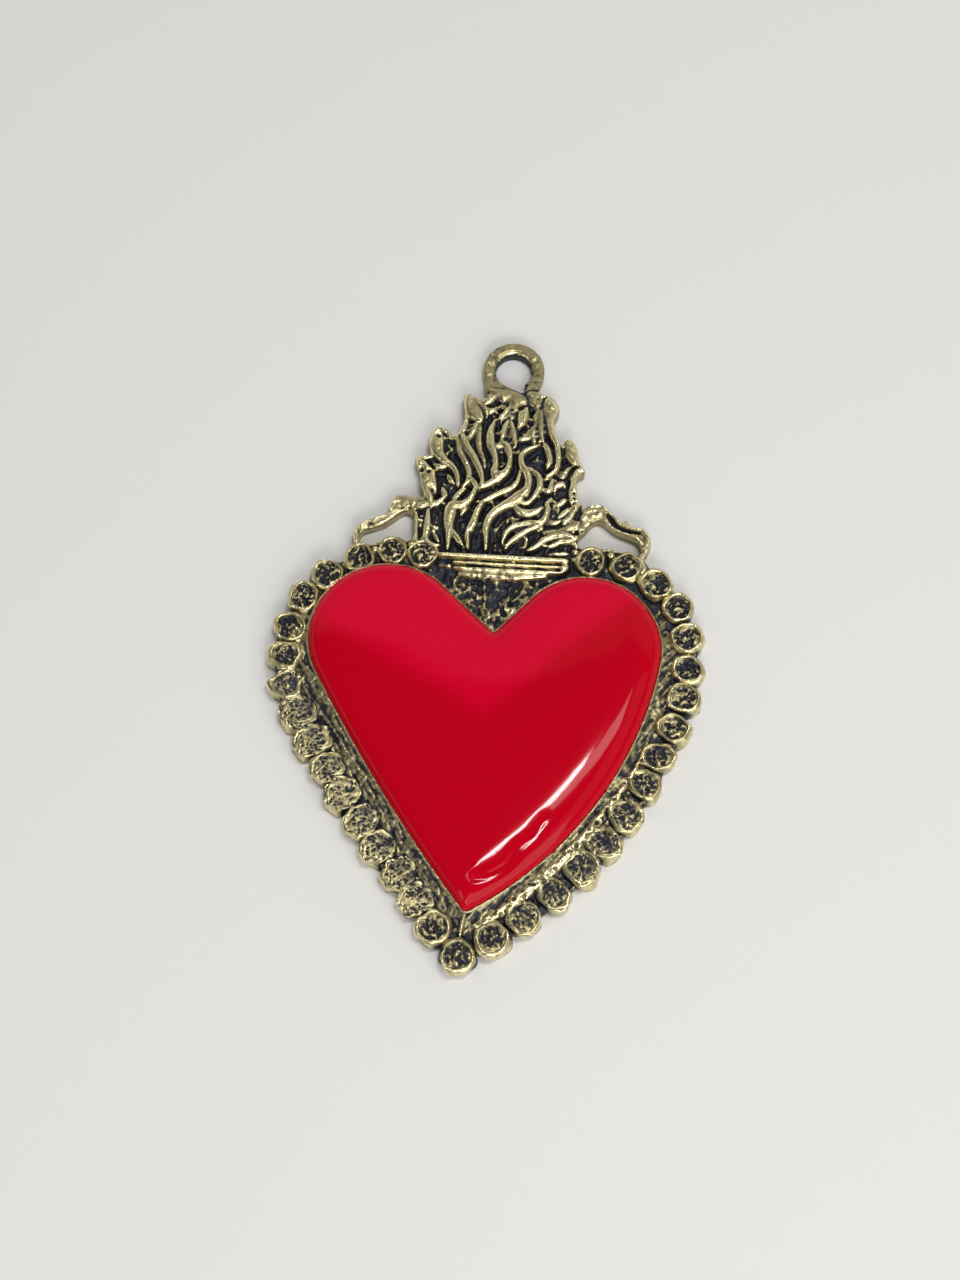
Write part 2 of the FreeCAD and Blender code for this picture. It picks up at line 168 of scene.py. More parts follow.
def shade(bench, sockets):
    """A Principled surface with these sockets, joined to the material's output."""
    shader = bench.node("ShaderNodeBsdfPrincipled", None, sockets)
    bench.node("ShaderNodeOutputMaterial", None, {"Surface": shader})


print("materials start from Object coordinates")

# %% [markdown]
# ## Antique gold
# Antique gold is made by plating the casting, dipping it in a black patina and then rubbing
# the high places bright again. So one number rules the whole finish: how high a spot stands
# above its neighbourhood. The relief carries that number as an attribute called `relief`,
# from -1 in a hollow to 1 on a crest. In a few places it also carries painted light: painted
# shade on the left of the ring's face and a painted highlight on the petals' outer edges. The
# material turns it into patina or gold, breaks the border up with noise, and roughens and
# darkens what the rubbing never reached.

# %% Antique gold material
patina = (0.009, 0.011, 0.02, 1)
dull_gold = (0.4, 0.345, 0.18, 1)
bright_gold = (0.82, 0.74, 0.43, 1)


def antique_gold():
    material, bench, place = new_material("antique_gold")
    relief = bench.node("ShaderNodeAttribute", {"attribute_name": "relief"}, out="Fac")
    blotches = noise(bench, place, 1100, 4, 0.65)
    grain = noise(bench, place, 4200, 3, 0.6)
    height = relief + (blotches - 0.5) * 0.9 + (grain - 0.5) * 0.6
    rubbed = height.step(-0.5, 0.02)
    bright = height.step(0.1, 0.85)
    worn = mixed_colour(bench, bright, dull_gold, bright_gold)
    bump = bench.node("ShaderNodeBump", None,
                      {"Strength": 0.5, "Distance": 0.00005, "Height": grain + blotches * 0.8},
                      out="Normal")
    shade(bench, {"Base Color": mixed_colour(bench, rubbed, patina, worn),
                  "Metallic": 0.25 + rubbed * 0.75,
                  "Roughness": 0.46 - rubbed * 0.12 - bright * 0.12 + (grain - 0.5) * 0.12,
                  "Normal": bump})
    return material


gold = antique_gold()
print(gold.name, len(gold.node_tree.nodes), "nodes")

# %% [markdown]
# ## Red enamel
# The enamel is a hard, clear-bodied red that is poured and cured, so its surface is nearly
# liquid: no grain at all, only a faint swell. A deep red base with a smooth dielectric gloss
# gives that look. The roughness moves very little, just enough for the reflections to feel
# poured and not machined. Over the lobes the red is painted lighter: painted light that
# stands for the brighter light and reflection there. The border of that painted light is
# soft and runs like a wide V, higher on the right than on the left.

# %% Red enamel material
deep_red = (0.49, 0.0, 0.01, 1)
painted_light_red = (0.635, 0.0, 0.024, 1)
left_slant, right_slant = 0.47, 0.93


def red_enamel():
    material, bench, place = new_material("red_enamel")
    clouds = noise(bench, place, 120, 3)
    swell = noise(bench, place, 260, 1, 0.4)
    sideways = bench.node("ShaderNodeSeparateXYZ", None, {"Vector": place})
    to_left = bench.math("MAXIMUM", sideways * -1, 0) * left_slant
    to_right = bench.math("MAXIMUM", sideways, 0) * right_slant
    above = sideways.sibling("Y") - to_left - to_right + (clouds - 0.5) * 0.002
    # Painted light: the red over the lobes is lighter, standing for the brighter light and
    # reflection there.
    painted_light_share = above.step(-0.0345, -0.0315)
    bump = bench.node("ShaderNodeBump", None,
                      {"Strength": 0.1, "Distance": 0.0002, "Height": swell}, out="Normal")
    shade(bench, {"Base Color": mixed_colour(bench, painted_light_share, deep_red, painted_light_red),
                  "Roughness": 0.05 + clouds * 0.04, "Specular IOR Level": 0.15,
                  "Normal": bump})
    return material


enamel_red = red_enamel()
print(enamel_red.name, len(enamel_red.node_tree.nodes), "nodes")

# %% [markdown]
# ## A grid to carve on
# A casting like this is carved once in wax as a relief: every spot of the face has one
# height. A grid of heights is therefore the natural blank. Each form is then raised on it
# the way a carver adds wax: by how far a spot is from the form's centre line. A pitch of
# 0.08 mm is finer than the photograph shows.

# %% The grid and smooth lines
pitch = 0.08
columns = np.arange(-19.2, 19.2, pitch)
rows = np.arange(-55.6, 3.2, pitch)
across, up = np.meshgrid(columns, rows, indexing="ij")
random = np.random.default_rng(11)


def smooth_line(points, steps=6):
    """A smooth curve through measured points. Further columns, such as widths, go along."""
    p = np.array(points, float)
    p = np.vstack([2 * p[0] - p[1], p, 2 * p[-1] - p[-2]])
    t = np.linspace(0, 1, steps, endpoint=False)[:, None]
    parts = []
    for a, b, c, d in zip(p, p[1:], p[2:], p[3:]):
        parts.append(b + (c - a) * t / 2 + (2 * a - 5 * b + 4 * c - d) * t ** 2 / 2
                     + (3 * b - a - 3 * c + d) * t ** 3 / 2)
    parts.append(p[-2:-1])
    return np.vstack(parts)


def near_line(line, reach):
    """The part of the grid within reach of a line, its distance from the line there, and
    what the line's further columns say at the nearest place."""
    low = line[:, :2].min(0) - reach
    high = line[:, :2].max(0) + reach
    window = (slice(*np.searchsorted(columns, (low[0], high[0]))),
              slice(*np.searchsorted(rows, (low[1], high[1]))))
    x, y = across[window], up[window]
    away = np.full(x.shape, float(reach))
    carried = np.zeros(x.shape + (line.shape[1] - 2,))
    for start, end in zip(line, line[1:]):
        way = end[:2] - start[:2]
        share = ((x - start[0]) * way[0] + (y - start[1]) * way[1]) / max(way @ way, 1e-9)
        share = np.clip(share, 0, 1)
        gap = np.hypot(x - start[0] - share * way[0], y - start[1] - share * way[1])
        nearer = gap < away
        away[nearer] = gap[nearer]
        carried[nearer] = (start[2:] + share[..., None] * (end[2:] - start[2:]))[nearer]
    return window, away, carried


print("grid:", across.shape, "spots")

# %% [markdown]
# ## The heart's own formula
# Both hearts, the enamel and the line on which the beads are set, are two round lobes that
# run into long bowed sides. Four arcs and a small rounded tip give the whole outline, and
# moving it inwards only changes the radii. Complex numbers keep the geometry short: a point
# is a number, and turning it is a product.

# %% Where two arcs meet
def circles_meet(a, ra, b, rb, side):
    """Where two circles meet, on one side of the line between their centres."""
    apart = abs(b - a)
    along = (apart ** 2 + ra ** 2 - rb ** 2) / (2 * apart)
    return a + (b - a) / apart * (along + side * 1j * math.sqrt(ra ** 2 - along ** 2))


print("circles of 5 mm that stand 6 mm apart meet at", circles_meet(0, 5, 6, 5, 1))

# %% Heart outlines
class Heart:
    """Two lobes, two bowed sides, a sharp notch and a rounded tip."""

    def __init__(self, notch, centres, radii, bows, tip, tip_round):
        self.centres, self.radii, self.bows, self.tip_round = centres, radii, bows, tip_round
        self.normals, self.bow_centres = [], []
        for side, centre, radius, bow in zip((1, -1), centres, radii, bows):
            reach = notch - centre
            lean = side * math.acos(radius / abs(reach))
            self.normals.append(reach / abs(reach) * np.exp(1j * lean))
            self.bow_centres.append(circles_meet(centre, bow - radius, tip, bow, side))

    def outline(self, inset=0):
        """The outline moved inwards, from the notch round by the left lobe and the tip."""
        notch_steps, lobe_steps, bow_steps, tip_steps = 20, 60, 80, 12
        near = [bow - inset - self.tip_round for bow in self.bows]
        end = circles_meet(self.bow_centres[0], near[0], self.bow_centres[1], near[1], 1)
        level = [(n * c.conjugate()).real + r - inset
                 for n, c, r in zip(self.normals, self.centres, self.radii)]
        a, b = self.normals
        scale = a.real * b.imag - a.imag * b.real
        notch = complex(level[0] * b.imag - level[1] * a.imag,
                        level[1] * a.real - level[0] * b.real) / scale
        runs = []
        for n, c, r, w in zip(self.normals, self.centres, self.radii, self.bow_centres):
            touch = c + n * (r - inset)
            sides = np.angle(c - w)
            turn = (sides - np.angle(n)) % (2 * math.pi)
            if n is self.normals[1]:
                turn -= 2 * math.pi
            shares = np.arange(lobe_steps) / lobe_steps
            lobe = c + (r - inset) * np.exp(1j * (np.angle(n) + turn * shares))
            straight = notch + (touch - notch) * np.arange(notch_steps) / notch_steps
            bow = self.bows[0] if n is self.normals[0] else self.bows[1]
            last = np.angle(end - w)
            drift = (last - sides + math.pi) % (2 * math.pi) - math.pi
            shares = np.arange(bow_steps) / bow_steps
            side = w + (bow - inset) * np.exp(1j * (sides + drift * shares))
            runs.append((straight, lobe, side, last))
        left, right = runs
        drift = (right[3] - left[3] + math.pi) % (2 * math.pi) - math.pi
        shares = np.arange(tip_steps + 1) / tip_steps
        tip = end + self.tip_round * np.exp(1j * (left[3] + drift * shares))
        back = np.concatenate(right[:3])[1:][::-1]
        return np.concatenate(left[:3] + (tip,) + (back,))


enamel_heart = Heart(0.3 - 25.65j, (-8.8 - 26.8j, 8.3 - 26.3j), (6.75, 6.5), (140, 32),
                     0 - 50.1j, 0.5)
border_heart = Heart(0.3 - 19.4j, (-7.7 - 28.4j, 8.7 - 27.3j), (9.8, 8.8), (111, 35),
                     -0.3 - 53.7j, 0.5)
enamel_line = enamel_heart.outline()
print("enamel outline:", len(enamel_line), "points, x", round(enamel_line.real.min(), 2),
      "to", round(enamel_line.real.max(), 2), "mm")

# %% [markdown]
# ## The silhouette
# What shows against the table is one outline made of several: the plate under the beads, the
# crown, two ribbon loops, the ledges under them and the ring. Each is kept as a signed
# distance, negative inside, because joining shapes is then only a matter of taking the
# smaller number, and because the same distance later rounds the edges.

# %% Shapes as signed distances
far_away = 3.0


def filled(loop):
    """True for the grid's spots inside a closed loop."""
    inside = np.zeros(across.shape, bool)
    for (xa, ya), (xb, yb) in zip(loop, np.roll(loop, -1, axis=0)):
        for row in range(*sorted(np.searchsorted(rows, (ya, yb)))):
            crossing = xa + (rows[row] - ya) * (xb - xa) / (yb - ya)
            inside[np.searchsorted(columns, crossing):, row] ^= True
    return inside


def signed(loop):
    """Distance from a closed loop, negative inside it."""
    loop = np.array(loop, float)
    window, away, _ = near_line(np.vstack([loop, loop[:1]]), far_away)
    field = np.full(across.shape, far_away)
    field[window] = away
    return np.where(filled(loop), -field, field)


def as_loop(line):
    """Complex numbers as rows of x and y."""
    return np.column_stack([line.real, line.imag])


def rounded_loop(points, steps=5):
    """A closed smooth loop through measured points."""
    wrapped = list(points[-2:]) + list(points) + list(points[:2])
    return smooth_line(wrapped, steps)[steps * 2:-steps * 2 - 1]


from_enamel = signed(as_loop(enamel_line))
plate = signed(as_loop(border_heart.outline(-0.45)))
print("plate area, mm2:", round((plate < 0).sum() * pitch ** 2))

# %% Measured outlines
crown_edge = [
    (-2.1, -1.9), (-2.0, -2.5), (-2.4, -3.2), (-3.1, -3.25), (-3.9, -2.8), (-4.3, -3.2),
    (-4.15, -4.3), (-4.0, -5.5), (-4.5, -6.8), (-4.9, -7.15), (-5.3, -6.75), (-6.25, -6.3),
    (-6.9, -7.2), (-6.95, -8.3), (-6.7, -9.1), (-7.2, -9.3), (-7.85, -9.4), (-8.0, -10.0),
    (-7.55, -11.0), (-7.25, -12.3), (-6.95, -13.2), (-7.4, -14.2), (-7.55, -15.5),
    (-7.4, -17.0), (-7.3, -18.6), (0, -19.6), (7.0, -18.6), (6.95, -16.9), (6.95, -15.4),
    (7.1, -13.1), (6.75, -12.5), (6.5, -11.5), (6.5, -10.3), (7.1, -9.75), (6.95, -9.25),
    (6.5, -8.6), (6.25, -7.5), (5.7, -6.6), (5.15, -6.75), (5.0, -7.2), (4.65, -7.1),
    (4.2, -5.9), (4.0, -5.0), (4.3, -4.2), (4.4, -3.6), (3.9, -2.8), (3.2, -2.35),
    (2.6, -2.4), (2.35, -1.9), (0, -2.1)]
left_ribbon_edge = [
    (-6.6, -13.3), (-7.4, -13.3), (-8.2, -13.2), (-9.0, -13.2), (-9.45, -13.4), (-9.75, -14.3),
    (-10.2, -15.2), (-11.4, -15.8), (-12.4, -16.5), (-12.8, -17.3), (-12.5, -18.3),
    (-11.9, -18.9), (-12.2, -17.9), (-12.0, -17.0), (-11.2, -16.6), (-10.2, -16.15),
    (-9.4, -15.5), (-8.8, -14.95), (-8.3, -14.7), (-7.7, -14.95), (-7.4, -15.6), (-6.6, -15.4)]
right_ribbon_edge = [
    (6.6, -13.6), (7.2, -13.2), (7.8, -12.8), (8.5, -12.65), (9.4, -13.0), (10.1, -13.7),
    (10.6, -14.1), (11.1, -13.95), (11.4, -14.4), (12.3, -14.55), (13.0, -15.0),
    (13.35, -15.9), (13.15, -16.8), (12.8, -17.4), (13.1, -18.6), (12.4, -18.9),
    (12.35, -17.4), (12.5, -16.6), (12.2, -15.9), (11.4, -15.55), (10.2, -15.15),
    (9.3, -14.5), (8.7, -14.2), (8.1, -14.5), (7.6, -15.2), (7.0, -15.9), (6.4, -16.4)]
left_ledge_edge = [
    (-6.5, -17.2), (-7.4, -17.4), (-8.7, -17.45), (-9.7, -17.65), (-10.6, -17.95),
    (-11.7, -18.3), (-13.2, -19.3), (-12.5, -21.0), (-8.0, -20.2), (-4.0, -20.0)]
right_ledge_edge = [
    (6.4, -16.9), (7.5, -16.95), (8.6, -16.85), (9.7, -16.8), (10.7, -16.95), (12.0, -17.05),
    (12.9, -17.6), (13.6, -18.9), (13.4, -20.5), (8.0, -19.9), (5.0, -19.8)]
print("measured places on the crown's outline:", len(crown_edge))

# %% The crown, the ribbons, the ledges and the ring
crown = signed(rounded_loop(crown_edge))
ribbons = np.minimum(signed(rounded_loop(left_ribbon_edge)),
                     signed(rounded_loop(right_ribbon_edge)))
ledges = np.minimum(signed(rounded_loop(left_ledge_edge)),
                    signed(rounded_loop(right_ledge_edge)))

ring_inner, ring_outer = 1.63, 2.78
from_hole = np.hypot(across, up)
ring = from_hole - ring_outer
ring_slant = np.hypot(across, up + 1.6) - 2.45
file_mark = signed([(-0.6, -1.5), (0.2, -1.95), (0.85, -2.25), (1.05, -2.15), (1.35, -1.4),
                    (0.4, -0.8)])
hole = np.minimum(from_hole - ring_inner, file_mark)
silhouette = np.minimum.reduce([plate, crown, ribbons, ledges, ring, ring_slant])
silhouette = np.maximum(silhouette, -hole)
print("face of the casting, mm2:",
      round(((silhouette < 0) & (from_enamel > 0)).sum() * pitch ** 2))

# %% [markdown]
# ## Grain of the cast metal
# Cast zinc copies every mark of the wax and adds a skin of its own: soft lumps, fine grain
# and small pits. Lattices of random numbers, blended smoothly, make lumps of any size, and
# the carving cells below mix them in where the metal was never polished.

# %% Lumps of a chosen size
def blended(lattice, u, v, ease=False):
    """A lattice's value at places between its corners, from the four round each place."""
    i, j = u.astype(int), v.astype(int)
    u, v = u - i, v - j
    if ease:
        u, v = u * u * (3 - 2 * u), v * v * (3 - 2 * v)
    left = lattice[i, j] * (1 - v) + lattice[i, j + 1] * v
    right = lattice[i + 1, j] * (1 - v) + lattice[i + 1, j + 1] * v
    return left * (1 - u) + right * u


def lumps(size, stretch=1, angle=0):
    """Smooth random heights between -1 and 1, in lumps of about this size in mm, drawn out
    along an angle in degrees if stretch is above 1."""
    c, s = math.cos(math.radians(angle)), math.sin(math.radians(angle))
    u = (across * c + up * s) / (size * stretch)
    v = (up * c - across * s) / size
    u, v = u - u.min(), v - v.min()
    lattice = random.uniform(-1, 1, (int(u.max()) + 2, int(v.max()) + 2))
    return blended(lattice, u, v, ease=True)


broad, middle, fine, pits = lumps(0.9), lumps(0.45), lumps(0.22), lumps(0.3)
streaks = np.where(across < 0, lumps(0.2, 4, -57), lumps(0.2, 4, 52))
scores = np.where(across < 0, lumps(0.15, 7, -54), lumps(0.15, 7, 50))
licks = np.where((across < 0) & (up > -12), lumps(0.28, 4, 112), lumps(0.28, 4, 58))
print("grain runs from", round(fine.min(), 2), "to", round(fine.max(), 2))

# %% Soft steps and soft averages
def smooth_step(value, low, high):
    """0 below low, 1 above high, and a smooth ramp between."""
    share = np.clip((value - low) / (high - low), 0, 1)
    return share * share * (3 - 2 * share)


def soften(field, reach, weight):
    """Average over a square about each spot, counting only spots of the casting."""
    total, count = field * weight, weight.astype(float)
    for axis in (0, 1):
        for _ in range(2):
            kept = []
            for values in (total, count):
                summed = np.cumsum(values, axis=axis)
                kept.append(np.roll(summed, -reach, axis) - np.roll(summed, reach + 1, axis))
            total, count = kept
    return total / np.maximum(count, 1e-9)


print("half way up a soft step:", smooth_step(0.5, 0, 1))

# %% [markdown]
# ## The field, the cell wall and the band round the enamel
# The heights start low everywhere. Round the enamel stands a thin wall, just bright at its
# top, and outside it a band slopes down to the beads. The band was never polished, so it
# keeps the roughest grain of the whole piece.

# %% Field heights
plate_height, crown_height, form_base, lip_height = 1.05, 0.9, 1.0, 1.78
lip_drop, band_drop = 0.12, 0.6
band_width, wall_width = 1.9, 0.13
height = np.full(across.shape, plate_height)
ground = crown_height + 0.1 * broad + 0.27 * smooth_step(licks, 0.2, 0.8)
height = np.where(crown < 0.3, ground, height)
height = np.where((plate < 0) | (ledges < 0), plate_height + 0.06 * broad + 0.05 * middle,
                  height)
height = np.where(ring < 0.1, form_base, height)

in_notch = (abs(across) < 6.5) & (up > -26)
band = smooth_step(-up, 21.5, 26) * ~in_notch * (from_enamel < band_width) * (plate < 0)
slope = lip_height - lip_drop - band_drop * np.clip(from_enamel / band_width, 0, 1)
slope += 0.09 * streaks + 0.06 * scores + 0.06 * middle + 0.05 * fine
height = np.where(band > 0, np.maximum(height, plate_height + (slope - plate_height) * band),
                  height)
height = np.where(from_enamel < wall_width, lip_height - 0.03, height)
print("heights so far, mm:", round(height.min(), 2), "to", round(height.max(), 2))

# %% [markdown]
# ## Raised lines
# Nearly every carved form here is a raised line: a flame, a cord, a leaf's rim. Its section
# is a low round back with steep flanks, like a bead of wax laid down with a hot tool. One
# helper lays any such line, pointed at both ends, and the tables that follow only say where
# each line runs and how wide it is.

# %% A helper that lays a raised line
def lay(points, top, base, width=None, ends=0.45, back=2.4):
    """Raises a line to a top height. Points carry their own widths, or share one. The tips
    are as wide as the ends' share says, and a higher back is a flatter one."""
    if width is not None:
        points = [(x, y, width) for x, y in points]
    line = smooth_line(points)
    run = np.concatenate([[0], np.cumsum(np.hypot(*np.diff(line[:, :2], axis=0).T))])
    share = run / run[-1]
    line[:, 2] *= ends + (1 - ends) * np.sin(np.pi * np.clip(share, 0, 1)) ** 0.45
    window, away, carried = near_line(line, line[:, 2].max())
    out = away / np.maximum(carried[..., 0] / 2, 1e-3)
    form = (1 - np.clip(out, 0, 1) ** back) ** 0.6
    laid = base + (top - base) * form
    height[window] = np.where(out < 1, np.maximum(height[window], laid), height[window])


def lay_lump(x, y, radius, top, base):
    """A round lump, laid as a very short line."""
    lay([(x - radius * 0.2, y), (x, y), (x + radius * 0.2, y)], top, base, radius * 1.7, 0.9)


print("lines are laid as half-round backs")

# %% [markdown]
# ## Band details: cord moulding and the ridge under the tip
# On the lower right a thick cord runs between the enamel and the beads, broken up by pits,
# and a short ridge drops from the enamel's tip.

# %% Cord and ridge
cord_line = [(14.1, -34.0, 0.3), (13.55, -35.8, 0.55), (12.45, -38.0, 0.8), (10.05, -41.7, 1.1),
             (7.6, -44.8, 1.3), (5.15, -47.5, 1.35), (2.6, -49.85, 1.2), (0.6, -51.3, 0.8)]
lay(cord_line, 1.66, form_base, ends=0.7)
cord_pit = 0.3
on_cord = (band > 0) & (across > 0.3) & (height > slope + 0.15)
height -= cord_pit * on_cord * smooth_step(0.6 * pits + 0.4 * fine, 0.12, 0.4)
lay([(0.05, -50.1), (-0.1, -50.9), (-0.2, -52.0)], 1.75, 1.1, 0.45)
print("cord moulding:", len(cord_line), "measured places")

# %% [markdown]
# ## The moulded bar
# Between heart and crown lies a bar of four bands. The top one is broad and clean, the next
# two are thinner and end in a small cap at the right, and the lowest is hammered rough where
# the leaf spray grows out of it.

# %% Bar
lay([(-5.15, -18.82, 0.6), (-4.2, -18.8, 0.72), (0.6, -18.68, 0.76), (5.0, -18.54, 0.72),
     (6.1, -18.5, 0.6)], 2.05, form_base, ends=0.85, back=3)
lay([(-3.7, -19.4), (0.9, -19.3), (5.8, -19.12)], 1.95, form_base, 0.42, 0.85, 3)
lay([(-3.6, -19.9, 0.5), (0.9, -19.83, 0.62), (5.6, -19.6, 0.5)], 1.85, form_base, ends=0.7,
    back=3)
lay([(5.8, -18.6, 0.7), (6.05, -19.05, 0.85), (5.75, -19.5, 0.7)], 1.85, form_base, ends=0.85)
lay_lump(-4.75, -19.4, 0.5, 1.6, form_base)
lay_lump(-4.15, -19.62, 0.42, 1.55, form_base)
lay([(-3.1, -20.33, 0.7), (-1.5, -20.4, 0.9), (1.0, -20.3, 0.9), (4.4, -20.02, 0.6)],
    1.66, form_base, ends=0.7, back=3)
on_bar = (up > -19.62) & (up < -18.15) & (across > -5.5) & (across < 6.5)
print("bar: 4 bands")

# %% [markdown]
# ## The leaf spray
# In the angle over the enamel's notch grows a small spray: leaves drawn only by their rims,
# stems and a few dots, on a dark ground.

# %% Leaves in the heart's angle
leaf_rims = [
    [(-3.1, -20.3), (-3.4, -20.8), (-3.45, -21.4), (-3.15, -21.9), (-2.65, -22.0),
     (-2.25, -21.6), (-2.2, -20.9), (-2.5, -20.4), (-3.1, -20.3)],
    [(-2.0, -21.3), (-2.1, -22.0), (-1.85, -22.6), (-1.45, -22.4), (-1.35, -21.7),
     (-1.6, -21.2), (-2.0, -21.3)],
    [(1.3, -21.7), (1.5, -21.0), (1.95, -20.55), (2.45, -20.5), (2.6, -21.0), (2.3, -21.8),
     (1.75, -22.4), (1.35, -22.3), (1.3, -21.7)],
    [(1.4, -22.2), (1.15, -22.8), (1.05, -23.4)], [(-0.9, -23.4), (-0.7, -24.1), (-0.4, -24.6)]]
for rim in leaf_rims:
    lay(rim, 1.3, form_base, 0.25, 0.8)
lay([(-0.8, -20.5, 0.45), (-0.85, -21.4, 0.3), (-0.7, -22.3, 0.4), (-0.75, -23.1, 0.5)],
    1.35, form_base)
lay([(1.55, -22.2), (1.9, -21.5), (2.25, -20.8)], 1.25, form_base, 0.2)
for x, y, radius in ((-2.8, -21.2, 0.42), (-1.7, -21.9, 0.25), (3.1, -21.0, 0.34),
                     (3.65, -20.65, 0.3), (4.2, -20.45, 0.26), (4.7, -20.2, 0.38),
                     (-3.2, -22.3, 0.28), (0.5, -23.3, 0.25), (0.4, -24.2, 0.28),
                     (-0.1, -21.9, 0.22), (5.2, -19.9, 0.3), (2.75, -21.5, 0.25)):
    lay_lump(x, y, radius, 1.25, form_base)
in_spray = in_notch & (from_enamel > wall_width) & (up < -20.5)
height += np.where(in_spray, 0.07 * middle + 0.07 * fine, 0)
print("spray:", len(leaf_rims), "rims")

# %% [markdown]
# ## The crown of flames
# The crown is where the carver spent the day: tongues of flame that lick upward, fork and
# curl over one another. They are one connected net of flat-backed ridges with deep dark
# channels between, so each ridge is a line with its own widths, read off the photograph, and
# wherever two lines meet they simply grow together. The crests stand above the plane in which
# the photograph was measured, and the camera looks up the piece, so all of them are laid a
# little lower down than they seem.

